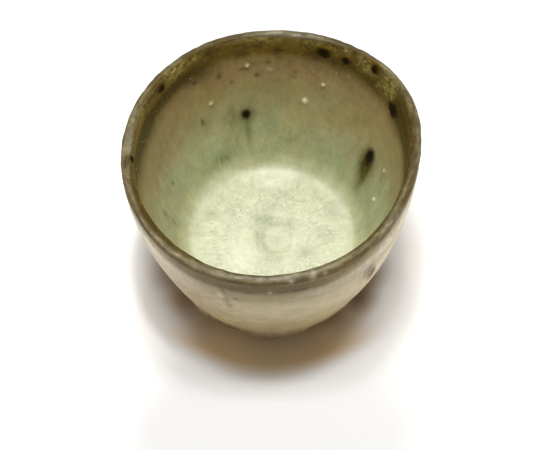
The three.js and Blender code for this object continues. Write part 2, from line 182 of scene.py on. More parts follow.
# Soft stains in the glaze: angle, path, half width, half length (millimetres) and strength
STAINS = {
    "warm": (
        (95, 15, 15, 4.5, 0.55),
        (72, 12, 12, 3.5, 0.45),
        (135, 13, 7, 4.5, 0.40),
        (118, 11, 8, 3.0, 0.35),
        (45, 14, 9, 4.5, 0.40),
        (60, 20, 9, 3.0, 0.25),
        (160, 26, 12, 9, 0.42),
        (54, 34, 8, 6, 0.25),
        (140, 22, 8, 6, 0.20),
        (178, 38, 10, 8, 0.25),
        (232, -26, 12, 12, 0.50),
        (212, -20, 14, 14, 0.45),
        (241, -17, 7, 9, 0.50),
    ),
    "mauve": (
        (262, -4.6, 14, 3.0, 1.00),
        (284, -4.3, 10, 2.8, 0.60),
        (305, -4.0, 8, 2.4, 0.75),
        (238, -4.4, 9, 2.8, 0.90),
        (330, -3.8, 12, 2.0, 0.42),
        (212, -3.8, 12, 2.0, 0.42),
    ),
    "band": (
        (262, -6.9, 6, 1.2, 0.70),
        (278, -6.8, 5.5, 1.2, 0.75),
        (291, -6.6, 5, 1.1, 0.60),
        (250, -6.6, 7, 1.3, 0.55),
        (288.2, -1.4, 1.3, 0.8, 0.60),
        (256.8, -12.8, 0.9, 0.9, 0.80),
        # The next three are a painted shadow along the right edge of the raised run outside
        (252.0, -9.4, 0.9, 2.8, 0.60),
        (252.7, -14.4, 0.9, 3.2, 0.50),
        (253.7, -19.6, 0.9, 3.4, 0.40),
        (311.4, -16.8, 2.2, 5.0, 0.80),
        (313.2, -12.6, 1.6, 2.4, 0.50),
        # The next two darken the roll over the foot: bare clay and painted shade
        (239, -52, 7, 3.6, 0.80),
        (290, -53, 12, 2.4, 0.50),
    ),
    # Paler clouds, and painted light where the wall turns away by the sides: the rows at 206 and 338 degrees
    # are painted light, the rest paler glaze
    "pearl": (
        (318, -8.5, 10, 3.5, 0.55),
        (338, -8.6, 12, 3.6, 1.00),
        (304, -9.0, 7, 2.6, 0.16),
        (297, -11, 7, 3.5, 0.30),
        (287, -11, 6, 2.4, 0.30),
        (237, -14, 8, 5.0, 0.25),
        (222, -9.5, 10, 4.0, 0.50),
        (206, -8.8, 12, 3.6, 0.95),
        (204, -4.9, 7, 1.3, 0.35),
        (341, -4.8, 7, 1.2, 0.25),
    ),
    "green": (
        (111, 33, 1.6, 9, 0.30),
        (119.5, 43.3, 2.2, 1.4, 0.45),
        (125, 45, 5, 2.4, 0.25),
        (92, 40, 22, 6, 0.20),
        (90, 48.6, 13, 1.6, 0.25),
        (103, 31, 6, 5, 0.22),
        (24, 37, 12, 8, 0.15),
    ),
    "tail": (
        (30.7, 34.6, 2.7, 3.4, 1.15),
        (29.9, 38.6, 2.4, 3.4, 0.65),
        (28.9, 42.6, 1.7, 3.0, 0.35),
        (103.0, 34.0, 1.1, 3.6, 0.45),
        (102.8, 39.0, 0.9, 4.0, 0.30),
    ),
    "crisp": (
        (-8, 49.5, 12, 7, 0.70),
        (22, 49.5, 14, 7, 1.00),
        (188, 49.5, 14, 7, 0.50),
        (62, 49.5, 12, 7, 0.60),
        (92, 49.5, 12, 7, 0.80),
    ),
    "pool": (
        (132, 49.4, 10, 2.2, 0.40),
        (50, 49.4, 8, 2.0, 0.25),
    ),
    "iron": (
        (186, 8.4, 8, 2.2, 0.85),
        (168, 9.0, 8, 2.4, 0.95),
        (152, 8.6, 7, 2.4, 0.90),
        (139, 8.4, 6, 2.8, 0.75),
        (127, 7.2, 6, 3.2, 0.80),
        (108, 5.8, 8, 2.0, 0.40),
        (74, 7.0, 9, 2.2, 0.50),
        (60, 8.0, 7, 2.6, 0.50),
        (46, 8.0, 6, 3.0, 0.60),
        (30, 5.4, 9, 3.6, 0.70),
        (10, 5.2, 9, 3.6, 0.85),
        (-10, 5.0, 9, 3.2, 0.75),
        (116, 0.9, 9, 0.9, 0.60),
        (122, 11.0, 5, 3.0, 0.35),
        (20, 9.4, 8, 3.0, 0.80),
        (4, 9.0, 8, 3.0, 0.70),
        (178, 11.5, 7, 3.5, 0.55),
        (174, 15.5, 8, 4.0, 0.25),
        (164, 11.0, 7, 3.5, 0.50),
        (157, 13.5, 6, 3.5, 0.30),
        (224, 0.3, 9, 0.55, 0.95),
        (205, 0.9, 12, 0.6, 0.35),
        (312, 0.9, 8, 0.5, 0.60),
        (314, -1.6, 9, 0.5, 0.30),
        (60, 1.0, 5, 0.8, 0.95),
        (70, 0.0, 3, 0.35, 0.35),
        (130, 1.3, 5, 0.8, 0.80),
        (147, 0.6, 8, 0.8, 0.70),
        (20, 0.8, 6, 0.8, 0.45),
        (8, 0.5, 6, 0.7, 0.30),
        (51, 0.8, 4, 0.6, 0.80),
        (350, 1.0, 6, 0.6, 0.20),
        (61, 1.5, 3, 0.5, 0.40),
        (255, 0.8, 5, 0.4, 0.40),
        (350, 9.0, 7, 3.0, 0.35),
        (206, -1.5, 8, 0.5, 0.55),
        (209, -0.1, 9, 1.2, 0.35),
        (214, 0.4, 5, 0.7, 0.60),
        (214, -2.0, 7, 0.5, 0.65),
        (233, -2.3, 7, 0.5, 0.35),
        (245, 0.1, 5, 0.4, 0.45),
        (296, 0.2, 4, 0.4, 0.35),
        (314, 0.2, 4, 0.4, 0.35),
        (336, -1.2, 6, 0.9, 1.10),
        (346, -1.4, 6, 0.7, 0.55),
        (350, 0.2, 6, 0.8, 0.30),
        (80, -1.3, 14, 0.45, 0.45),
        (0, 11.5, 9, 3.5, 0.45),
        (113, -0.3, 11, 0.9, 0.30),
        (46.2, 0.9, 2.4, 0.9, 1.10),
        (112, -1.1, 18, 0.5, 0.65),
        (56, -1.1, 16, 0.5, 0.80),
        (140, -1.4, 14, 0.6, 0.90),
        (172, -2.2, 18, 0.7, 0.90),
        (183.8, 1.0, 1.0, 0.9, 2.00),
        (103.0, 30.7, 2.3, 2.2, 0.90),
        (30.8, 32.0, 2.8, 3.8, 0.90),
        (67.6, 4.8, 2.6, 2.2, 0.60),
        (57.3, 5.2, 1.6, 1.9, 0.60),
        (43.6, 2.0, 1.8, 1.8, 0.60),
        (28.0, 8.4, 2.4, 3.2, 0.85),
        (144.2, 3.2, 1.4, 2.0, 0.55),
        (182.0, 4.2, 1.0, 2.2, 0.60),
        (114, 13.8, 0.8, 1.0, 0.75),
        (108.4, 17.7, 0.7, 0.9, 0.60),
        (103.8, 13.4, 0.8, 0.6, 0.55),
        (101.7, 13.3, 0.7, 0.6, 0.55),
        (98.1, 11.9, 0.8, 0.6, 0.45),
        (96.7, 16.4, 0.9, 0.9, 0.75),
        (91.5, 11.6, 0.9, 0.8, 0.75),
        (79.0, 15.1, 0.7, 0.7, 0.55),
        (79.6, 16.9, 0.7, 0.7, 0.50),
        (126.1, 11.7, 0.9, 0.8, 0.65),
        (117.8, 2.7, 1.0, 1.0, 0.90),
        (86.8, 6.7, 1.9, 0.8, 0.75),
        (126.6, 27.6, 0.55, 1.5, 0.80),
        (158.2, 36.4, 0.55, 0.9, 0.60),
        (177.5, 37, 0.55, 2.4, 0.55),
        (175.5, 43, 0.45, 2.6, 0.40),
    ),
    "lump": (
        (137, 2.8, 2.8, 1.9, 1.20),
        (131.5, 2.8, 2.4, 1.5, 0.90),
        (124, 2.4, 2.8, 0.9, 0.60),
        (166, 4.0, 6, 2.0, 0.35),
        (57.5, 1.8, 0.9, 1.2, 0.65),
        (49, 3.6, 2.2, 2.0, 1.10),
        (45, 3.6, 1.6, 1.4, 0.70),
        (41, 6.6, 0.8, 1.4, 0.70),
        (35, 4.6, 2.4, 2.8, 1.10),
        (31.5, 4.0, 1.3, 2.2, 0.70),
        (90, 2.6, 7, 0.8, 0.45),
        (100, 1.8, 5, 0.8, 0.40),
        (160, 2.6, 4, 2.2, 0.35),
        (72, 2.4, 6, 0.8, 0.45),
    ),
    "pale": (
        (90.8, 14.4, 0.9, 0.7, 0.40),
        (250.4, -12.4, 1.3, 2.0, 0.55),
        (285.6, -1.5, 0.7, 1.4, 0.50),
        (277.6, -1.7, 0.7, 1.2, 0.35),
        (290.4, -1.3, 0.5, 0.8, 0.25),
        (269.6, -6.4, 0.6, 0.9, 0.35),
        # The rows from here down lighten the crest of the lip in patches: painted glints, over the lamps'
        # own highlight
        (176, -0.2, 5, 0.8, 0.06),
        (88, 0.3, 6, 0.8, 0.22),
        (77, 0.3, 5, 0.6, 0.20),
        (66, 0.4, 4, 0.4, 0.08),
        (170, 0.5, 7, 1.1, 0.12),
        (178, 1.1, 5, 0.7, 0.14),
        (217, -0.9, 5, 0.35, 0.14),
        (229, -0.8, 7, 0.4, 0.16),
        (246, -1.0, 6, 0.6, 0.18),
        (266, -0.5, 13, 0.7, 0.28),
        (286, -0.5, 8, 0.8, 0.12),
        (305, 0.0, 4, 0.5, 0.12),
        (290, 0.6, 5, 0.4, 0.14),
        (326, -0.8, 5, 0.9, 0.20),
        (345, 0.0, 5, 0.4, 0.10),
    ),
}
# Soft stains on the floor: x, y, half width, half depth (millimetres) and strength
FLOOR_STAINS = {
    "ash": (
        (-2.4, 7.0, 3.2, 2.0, 1.10),
        (-4.4, 1.4, 1.0, 3.6, 0.45),
        (0.0, 11.2, 2.6, 1.6, 0.50),
        (5.6, 5.7, 1.4, 2.4, 0.50),
        (1.5, 0.2, 1.4, 1.4, 0.50),
        (0.2, -6.8, 3.4, 1.4, 0.35),
        (9.8, -4.3, 3.0, 2.2, 0.70),
        (17.4, 8.9, 3.2, 3.2, 0.45),
        (16.0, 2.0, 4.0, 3.0, 0.45),
        (10.5, 21.0, 4.0, 1.6, 0.50),
        (-16.8, 8.0, 2.2, 1.6, 0.40),
        (-10.2, 9.9, 3.2, 2.0, 0.40),
        (-22.4, 4.7, 2.2, 4.5, 0.40),
        (22.8, 4.7, 2.2, 4.5, 0.35),
    ),
    "cream": (
        # The first row and the fifth are painted highlights: the sheen on the near left of the floor and
        # along its far edge; the rest are creamier glaze
        (-9.0, -6.2, 4.0, 6.4, 0.80),
        (6.3, -1.2, 2.2, 3.0, 0.60),
        (4.4, -6.8, 1.2, 1.0, 0.35),
        (0.0, 2.6, 2.2, 1.2, 0.35),
        (0.6, 20.6, 7.0, 3.4, 1.00),
        (-6.0, 14.0, 6.0, 4.0, 0.30),
        (19.5, 12.0, 3.0, 4.0, 0.15),
    ),
}
# The mark of the thrower's finger on the floor
RING_CENTRE = Vector((2.0 * MM, -0.2 * MM, 0))
RING_RADIUS = 5.2 * MM
# Its crest, its hollow and the swirl round it: depth in millimetres, then half width or spacing
RING_CREST = (0.14, 1.3 * MM)
RING_HOLLOW = (0.10, 2.0 * MM)
RING_SWIRL = (0.03, 3.4 * MM)
# Its greyer arc: towards which angle, half width in degrees, half thickness and strength
RING_ARC = (160, 105, 1.1 * MM, 0.70)

# The middle of the step from the wall's glaze to the pool's, along the path
POOL_LINE = 49.6 * MM
# Where the glaze's clouds pass from the wall to the floor: off the axis and along the path
FLOOR_RADIUS = 25.5 * MM
FLOOR_PATH = 50 * MM

# The white table: half its width, how far it lies under the foot and how white it is to the light
TABLE_REACH = 2.0
TABLE_DROP = 0.02 * MM
TABLE_WHITE = 0.85
# Where a side of the table begins and is full, as a share of a spoke along an axis
PLUS_SIDE = (0.5, 0.9)
MINUS_SIDE = (-0.5, -0.9)
# The table's painted shade to the camera: where it ends off the axis, how much nearer it ends by the sides,
# and where the table is painted paler or darker beyond it, with how much
SHADE_EDGE = (33.5 * MM, 40.5 * MM)
SIDE_DRAW = 3.5 * MM
LEFT_EDGE = (39.5 * MM, 43 * MM)
LEFT_LIFT = 0.3
RIGHT_EDGE = (43 * MM, 47 * MM)
RIGHT_LIFT = 0.1
FRONT_EDGE = (41 * MM, 46 * MM)
FRONT_LIFT = -0.14
# Crescents of deeper shade that hug the foot, round a middle behind the axis: towards which angle,
# half width in degrees, where the shade ends and where it is full (millimetres), strength and tint
CRESCENT_MIDDLE = Vector((0, 3.4 * MM, 0))
BROWN_SHADE = (0.40, 0.22, 0.0, 1)
RUST_SHADE = (0.55, 0.33, 0.04, 1)
UMBER_SHADE = (0.34, 0.23, 0.12, 1)
GREY_SHADE = (0.0, 0.0, 0.0, 1)
CRESCENTS = (
    (200, 28, 40, 29, 0.70, BROWN_SHADE),
    (222, 20, 37.5, 29.5, 0.56, RUST_SHADE),
    (337, 21, 37.5, 30, 0.84, UMBER_SHADE),
    (318, 20, 39, 29, 0.66, RUST_SHADE),
    (304, 16, 32, 28, 0.30, BROWN_SHADE),
    (280, 30, 43, 36, 0.15, GREY_SHADE),
    (2, 24, 44, 34, 0.20, GREY_SHADE),
    (184, 22, 41, 33, 0.28, GREY_SHADE),
)

# The two cards and the soft light behind: size, place and where the light aims
CARD_SIZE = (250 * MM, 50 * MM)
CARD_HEIGHT = 30 * MM
BACK_SIZE = (80 * MM, 100 * MM)
BACK_PLACE = (-17 * MM, 390 * MM, 706 * MM)
BACK_AIM = (0, 0, 13 * MM)

# How finely the pieces are cut
COLUMNS = 600
CLAY_ROWS = 60
OUTSIDE_ROWS = 110
RIM_ROWS = 64
INSIDE_ROWS = 100
FLOOR_ROWS = 60
BACK_ROWS = 30
RECESS_STEPS = 40
CORNER_STEPS = 6
MARK_RINGS = 10
MARK_POINTS = 32


def length(name, description, millimetres):
    """A length property whose default is given in millimetres."""
    return FloatProperty(name=name, description=description, default=millimetres * MM, unit="LENGTH")


def number(name, description, default):
    """A property for a plain number."""
    return FloatProperty(name=name, description=description, default=default)


def angle_setting(name, description, degrees):
    """An angle property whose default is given in degrees."""
    return FloatProperty(name=name, description=description, default=math.radians(degrees), subtype="ANGLE")


def light_share(name, description, default):
    """A property for the shares of red, green and blue light that a surface gives back."""
    return FloatVectorProperty(name=name, description=description, default=default, size=3)


def linear(channel):
    """One 0 to 255 screen value as scene-linear light."""
    share = channel / 255
    if share <= 0.04045:
        return share / 12.92
    return ((share + 0.055) / 1.055) ** 2.4


def colour(name, description, red, green, blue):
    """A colour property whose default is given as screen values."""
    default = (linear(red), linear(green), linear(blue), 1)
    return FloatVectorProperty(name=name, description=description, default=default, subtype="COLOR",
                               size=4, min=0, max=1)


class CupSizes(bpy.types.PropertyGroup):
    """The cup as it is measured over its glaze."""

    mouth_diameter: length("Mouth diameter", "Over the outside of the lip", 82)
    cup_height: length("Height", "From the table to the lip", 60)
    lip_thickness: length("Lip thickness", "Across the rounded lip", 3.1)
    wall_thickness: length("Wall thickness", "Where the wall rises from the foot", 4.6)
    wall_fullness: number("Wall fullness", "1 is a cone, 2 a round belly", 1.67)
    waist_diameter: length("Waist diameter", "The lowest edge of the wall, above the foot", 53.8)
    foot_diameter: length("Foot diameter", "Over the foot ring", 46)
    foot_ring_width: length("Foot ring width", "Across the ring the cup stands on", 5)
    foot_height: length("Foot height", "From the table to the top of the ring", 3.2)
    foot_taper: length("Foot taper", "How far each side of the ring leans", 0.5)
    undercut_rise: length("Undercut rise", "From the top of the foot out to the waist", 1.3)
    recess_depth: length("Recess depth", "Under the cup, inside the ring", 5)
    floor_thickness: length("Floor thickness", "The clay between the recess and the well", 7)
    floor_dish: length("Floor dish", "How far the floor climbs from its middle", 0.5)
    floor_fillet: length("Floor fillet", "The bend from the wall to the floor", 7)
    glaze_thickness: length("Glaze thickness", "Of each coat", 0.5)
    seat_gap: length("Seat gap", "Between a coat and the clay", 0.2)
    rim_band_outside: length("Rim band outside", "How far the iron glaze comes down outside", 6.5)
    rim_band_inside: length("Rim band inside", "How far the iron glaze comes down inside", 5.5)
    bare_band: length("Bare band", "Bare clay above the waist", 2.2)
    glaze_ripple: length("Glaze ripple", "How far the edges of the coats wander", 0.9)
    pool_bend: angle_setting("Pool bend", "How far round the fillet the pale glaze starts", 57)


class GlazeColours(bpy.types.PropertyGroup):
    """Colours of the clay and the glazes, as they look in plain white light; a few hold painted light or
    shade.
    """

    bare_clay: colour("Bare clay", "The unglazed foot", 136, 96, 64)
    toasted_clay: colour("Toasted clay", "Where the flame browned the bare clay", 92, 60, 40)
    lip_crest: colour("Lip crest", "Where the glaze ran thin over the lip", 112, 101, 66)
    lip_inner: colour("Lip inner", "The dark line along the inner edge of the lip", 92, 78, 42)
    lip_edge: colour("Lip edge", "The dark line each side of the crest", 94, 82, 52)
    # Painted glints: small bright flecks put on the lip where the glossy glaze catches the light
    painted_crest_glint: colour("Crest spark", "Small bright breaks in the glaze of the lip", 188, 178, 140)
    crest_fleck: colour("Crest fleck", "Pale flecks along the lip", 152, 141, 104)
    rim_lump: colour("Rim lump", "Lumps of paler glaze in the iron band", 186, 168, 98)
    rim_olive: colour("Rim olive", "The iron band inside the lip", 148, 118, 38)
    wall_brown: colour("Wall brown", "Under the iron band inside", 168, 142, 86)
    wall_umber: colour("Wall umber", "The upper inside wall", 184, 165, 112)
    wall_khaki: colour("Wall khaki", "The middle of the inside wall", 184, 174, 126)
    wall_celadon: colour("Wall celadon", "The lower inside wall", 192, 196, 154)
    warm_flush: colour("Warm flush", "Pinkish brown clouds in the glaze", 172, 142, 104)
    deep_moss: colour("Deep moss", "The olive tail under an iron run", 92, 92, 40)
    moss_green: colour("Moss green", "Where the glaze pooled and ran", 118, 126, 72)
    well_edge: colour("Well edge", "Where the pale pool begins", 196, 200, 160)
    well_pale: colour("Well pale", "The pool on the floor", 228, 232, 197)
    well_ash: colour("Well ash", "Greyer patches on the floor", 184, 192, 158)
    # Also the tint of painted highlights on the floor, where it shows a sheen
    well_cream_and_glare: colour("Well cream", "Creamier patches on the floor", 250, 252, 226)
    band_dark: colour("Band dark", "The dark lines of the outside band", 110, 91, 56)
    band_mauve: colour("Band mauve", "Between the dark lines", 126, 108, 67)
    wall_olive: colour("Wall olive", "Under the outside band", 170, 153, 106)
    wall_beige: colour("Wall beige", "Above and below the cream", 202, 183, 138)
    wall_cream: colour("Wall cream", "The outside wall", 216, 199, 156)
    # Also painted light on the outside wall where it turns away by the left and right sides
    wall_pearl_and_side_light: colour("Wall pearl", "Paler clouds on the outside wall", 228, 216, 186)
    # Darker than the roll's glaze alone: painted shade along the foot as well
    foot_roll_and_shade: colour("Foot edge", "The thick roll where the outside glaze stops", 116, 86, 56)
    foot_tan: colour("Foot tan", "The outside wall near the foot", 194, 168, 124)
    melted_iron: colour("Melted iron", "The core of an iron mark", 36, 25, 8)
    dark_olive: colour("Dark olive", "Thick iron in the glaze", 88, 68, 18)
    # The bead's pale glaze, raised near white as a painted highlight on its top; the pale stains use it too
    pale_glaze_and_glint: colour("Bead white", "A raised bead of glaze", 246, 240, 212)
    smear_grey: colour("Smear grey", "The iron smear outside", 92, 80, 60)


class StudioSettings(bpy.types.PropertyGroup):
    """The camera and the lights."""

    camera_elevation: angle_setting("Camera elevation", "How far the camera looks down", 58.89)
    camera_lens: number("Camera lens", "Focal length in millimetres", 118.9)
    camera_side: length("Camera side", "The camera's place along X", 1.01)
    camera_back: length("Camera back", "How far the camera stands off along -Y", 270.38)
    camera_height: length("Camera height", "The camera's place above the table", 468.86)
    key_height: length("Key height", "The strip light's place above the table", 1500)
    key_width: length("Key width", "The strip light along X", 720)
    key_depth: length("Key depth", "The strip light along Y", 200)
    key_power: number("Key power", "Watts of the strip light overhead", 14.0)
    back_power: number("Back power", "Watts of the soft light behind", 0.5)
    card_reach: length("Card reach", "How far the two white cards stand off the cup", 250)
    left_card_power: number("Left card power", "Watts of light from the card on the left", 0.10)
    right_card_power: number("Right card power", "Watts of light from the card on the right", 0.16)
    room_light: number("Room light", "Strength of the light from all round", 0.25)
    floor_seen: number("Floor seen", "How white the open table is to the camera", 1.2)
    # Painted shade of the table round the foot, to the camera: in front of the foot and beside it
    shade_tint: light_share("Shade tint", "The table to the camera in front of the foot", (0.86, 0.63, 0.36))
    side_shade_tint: light_share("Side tint", "The table to the camera beside the foot", (1.05, 1.04, 1.02))


def waves(lobes, angle):
    """The sum of some lobes at an angle."""
    total = 0.0
    for count, size, towards in lobes:
        total += size * math.cos(count * (angle - math.radians(towards)))
    return total


def turned_from(angle, degrees):
    """How many degrees an angle in radians lies past another one in degrees, the short way round."""
    return math.remainder(math.degrees(angle) - degrees, 360)


def turned_by(angles, degrees):
    """How far some angles lie past another one in degrees, the short way round, all in radians."""
    return np.remainder(angles - math.radians(degrees) + math.pi, 2 * math.pi) - math.pi


def uneven(place, layers):
    """Layers of noise at a place, each with its depth and how often it turns."""
    return sum(depth * noise.noise(place * often) for depth, often in layers)


def bump_at(off, depth, half):
    """A round bump of some depth and half width, seen from off its middle."""
    return depth * math.exp(-(off / half) ** 2)


def mix(first, last, share):
    """The value a share of the way from first to last."""
    return first + (last - first) * share


def smooth(low, high, value):
    """0 at low, 1 at high and a smooth step between."""
    share = min(1.0, max(0.0, (value - low) / (high - low)))
    return share * share * (3 - 2 * share)


class CupSection:
    """The turned section of the cup.

    path runs along the glazed surface: 0 on the crest of the lip, negative down the outside,
    positive down the inside wall, round the fillet and over the floor to the axis.
    """

    def __init__(self, sizes):
        self.sizes = sizes
        self.mouth_radius = sizes.mouth_diameter / 2
        self.waist_radius = sizes.waist_diameter / 2
        self.waist_height = sizes.foot_height + sizes.undercut_rise
        self.lip_radius = sizes.lip_thickness / 2
        self.lip_height = sizes.cup_height - self.lip_radius
        self.lip_half = self.lip_radius * math.pi / 2
        self.wall_rise = self.lip_height - self.waist_height
        self.clay_depth = sizes.glaze_thickness + sizes.seat_gap
        self.floor_height = sizes.recess_depth + sizes.floor_thickness + self.clay_depth
        self.fillet_top = self.floor_height + sizes.floor_dish + sizes.floor_fillet
        fillet = sizes.floor_fillet
        guess = self.fillet_top - fillet * math.sin(self.lean(self.inner_radius, self.fillet_top))
        self.fillet_lean = self.lean(self.inner_radius, guess)
        self.fillet_start = self.fillet_top - fillet * math.sin(self.fillet_lean)
        fillet_inside = self.inner_radius(self.fillet_start)
        self.fillet_radius = fillet_inside - fillet * math.cos(self.fillet_lean)
        lip_inside = self.inner_radius(self.lip_height)
        self.wall_length = math.hypot(self.lip_height - self.fillet_start, lip_inside - fillet_inside)
        self.fillet_end = self.wall_length + fillet * (math.pi / 2 - self.fillet_lean)
        self.inside_length = self.fillet_end + self.fillet_radius

    def wall_share(self, height):
        return (height - self.waist_height) / self.wall_rise

    def outer_radius(self, height):
        left = max(0.0, 1 - self.wall_share(height))
        return mix(self.waist_radius, self.mouth_radius, 1 - left ** self.sizes.wall_fullness)

    def inner_radius(self, height):
        wall = mix(self.sizes.wall_thickness, self.sizes.lip_thickness, self.wall_share(height))
        return self.outer_radius(height) - wall

    def lean(self, radius_at, height):
        """How far a wall leans outwards at a height, in radians from upright."""
        step = 0.1 * MM
        return math.atan2(radius_at(height + step) - radius_at(height - step), 2 * step)

    def path_outside(self, height):
        return -self.lip_half - (self.lip_height - height)

    def path_inside(self, distance):
        return self.lip_half + distance

    def profile(self, path):
        """Radius and height of the glazed surface, and which way it faces there."""
        if path < -self.lip_half:
            height = self.lip_height + self.lip_half + path
            lean = self.lean(self.outer_radius, height)
            return self.outer_radius(height), height, math.cos(lean), -math.sin(lean)
        if path <= self.lip_half:
            turn = math.pi / 2 + path / self.lip_radius
            across = math.cos(turn)
            up = math.sin(turn)
            middle = self.mouth_radius - self.lip_radius
            return middle + self.lip_radius * across, self.lip_height + self.lip_radius * up, across, up
        distance = path - self.lip_half
        if distance <= self.wall_length:
            height = mix(self.lip_height, self.fillet_start, distance / self.wall_length)
            lean = self.lean(self.inner_radius, height)
            return self.inner_radius(height), height, -math.cos(lean), math.sin(lean)
        fillet = self.sizes.floor_fillet
        bend = self.fillet_lean + (distance - self.wall_length) / fillet
        if bend < math.pi / 2:
            across = math.cos(bend)
            down = math.sin(bend)
            return self.fillet_radius + fillet * across, self.fillet_top - fillet * down, -across, down
        radius = max(0.0, self.inside_length - distance)
        climb = self.sizes.floor_dish * (radius / self.fillet_radius) ** 2
        return radius, self.floor_height + climb, 0.0, 1.0

    def thrown(self, radius, height, angle):
        """The foot is round and flat, and the mouth out of round."""
        rise = (height / self.sizes.cup_height) ** 2
        swollen = radius * (1 + rise * waves(RIM_LOBES, angle) / self.mouth_radius)
        lifted = height + rise * waves(RIM_SWAY, angle) * radius / self.mouth_radius
        return Vector((swollen * math.cos(angle), swollen * math.sin(angle), lifted))

    def hand(self, point, angle, path):
        """How far the thrower's fingers and the melt push the surface out."""
        dents = uneven(point, WALL_DENTS) * smooth(*DENTS_START, point.z)
        lumps = uneven(point, LIP_LUMPS) * math.exp(-(path / LIP_REACH) ** 2)
        outside = smooth(*RIDGES_UNDER_LIP, path) * smooth(*RIDGES_OVER_FOOT, point.z)
        swirl = 2 * math.pi * point.z / RIDGE_PITCH + 2 * angle + 2 * noise.noise(point * RIDGE_SWAY)
        ridges = RIDGE_DEPTH * math.sin(swirl) * outside
        shape = dents + lumps + ridges - self.pinch(angle, path)
        return (shape + self.ring(point, path) + self.rolled_edge(angle, path)) * MM

    def pinch(self, angle, path):
        """How much thinner the lip is on its near inside, in millimetres."""
        degrees, half, middle, reach, depth = LIP_PINCH
        turn = turned_from(angle, degrees) / half
        return depth * math.exp(-turn ** 4 - ((path - middle) / reach) ** 2)

    def rolled_edge(self, angle, path):
        """The thick lumpy roll where the outside coat stops above the foot, in millimetres."""
        above = (path - self.outside_edge(angle)) / ROLL_UNIT
        if path > -self.lip_half or above > 4:
            return 0.0
        facing = Vector((math.cos(angle), math.sin(angle), 0))
        near = max(0.0, -math.sin(angle)) ** 2
        lumps = ROLL_THICKNESS + ROLL_IN_FRONT * near + uneven(facing, ROLL_NOISE)
        for degrees, half, size in ROLL_LUMPS:
            lumps += bump_at(turned_from(angle, degrees), size, half)
        return bump_at(above - ROLL_CREST, max(0.0, lumps), ROLL_REACH)

    def ring(self, point, path):
        """The raised ring that the thrower's finger left on the floor, in millimetres."""
        if path < self.path_inside(self.fillet_end):
            return 0.0
        off = (Vector((point.x, point.y, 0)) - RING_CENTRE).length
        crest = bump_at(off - RING_RADIUS, *RING_CREST)
        hollow = bump_at(off, *RING_HOLLOW)
        depth, spacing = RING_SWIRL
        swirl = depth * math.sin(2 * math.pi * off / spacing + math.atan2(point.y, point.x))
        return crest - hollow + swirl * smooth(0, RING_RADIUS, off)

    def skin(self, path, angle, lift=0.0):
        """A point on the finished surface, raised by lift."""
        radius, height, across, up = self.profile(path)
        flat = self.thrown(radius, height, angle)
        push = lift + self.hand(flat, angle, path)
        return self.thrown(radius + across * push, height + up * push, angle)

    def under(self, path, angle, depth):
        """A point under the finished surface."""
        radius, height, across, up = self.profile(path)
        return self.thrown(max(0.0, radius - across * depth), height - up * depth, angle)

    def ripple(self, angle):
        return self.sizes.glaze_ripple * waves(EDGE_RIPPLES, angle)

    def rim_edge_outside(self, angle):
        height = self.sizes.cup_height - self.sizes.rim_band_outside + self.ripple(angle)
        return self.path_outside(height)

    def rim_edge_inside(self, angle):
        return self.path_inside(self.sizes.rim_band_inside + self.ripple(-angle))

    def outside_edge(self, angle):
        height = self.waist_height + self.sizes.bare_band + self.ripple(angle + math.pi)
        return self.path_outside(height)

    def pool_edge(self, angle):
        bend = self.sizes.floor_fillet * (self.sizes.pool_bend - self.fillet_lean)
        return self.path_inside(self.wall_length + bend + self.ripple(angle))

    def floor_middle(self, _angle):
        return self.path_inside(self.inside_length)


class Surface:
    """Points gathered for one piece, with what its glaze needs to know at each of them."""

    def __init__(self, section):
        self.section = section
        self.points = []
        self.faces = []
        self.paths = []
        self.angles = []
        self.more = {}

    def add(self, point, path, angle, **more):
        self.points.append(point)
        self.paths.append(path)
        self.angles.append(angle)
        for label, value in more.items():
            self.more.setdefault(label, []).append(value)

    def attributes(self):
        """The path and the painted stains, point by point."""
        paths = np.array(self.paths)
        angles = np.array(self.angles)
        radii = np.array([self.section.profile(path)[0] for path in self.paths])
        values = {"path": paths}
        for label, stains in STAINS.items():
            total = np.zeros(len(paths))
            for degrees, middle, half_width, half_length, strength in stains:
                aside = turned_by(angles, degrees) * radii / (half_width * MM)
                along = (paths - middle * MM) / (half_length * MM)
                total += strength * np.exp(-aside * aside - along * along)
            values[label] = np.clip(total, 0, 1)
        floor = paths > self.section.pool_edge(0) - 4 * MM
        across, deep = self.level_places()
        for label, stains in FLOOR_STAINS.items():
            total = np.zeros(len(paths))
            for x, y, half_width, half_depth, strength in stains:
                aside = (across / MM - x) / half_width
                along = (deep / MM - y) / half_depth
                total += strength * np.exp(-aside * aside - along * along)
            values[label] = np.clip(total, 0, 1) * floor
        values["ash"] = np.clip(values["ash"] + self.ring_arc() * floor, 0, 1)
        for label, numbers in self.more.items():
            values[label] = np.array(numbers)
        return values

    def level_places(self):
        """The points' places along X and Y."""
        return np.array([point.x for point in self.points]), np.array([point.y for point in self.points])

    def ring_arc(self):
        """How grey the thrower's mark is, point by point."""
        degrees, half, thickness, strength = RING_ARC
        x, y = self.level_places()
        x = x - RING_CENTRE.x
        y = y - RING_CENTRE.y
        turn = turned_by(np.arctan2(y, x), degrees)
        across = (np.hypot(x, y) - RING_RADIUS) / thickness
        return strength * np.exp(-across ** 2 - (turn / math.radians(half)) ** 4)


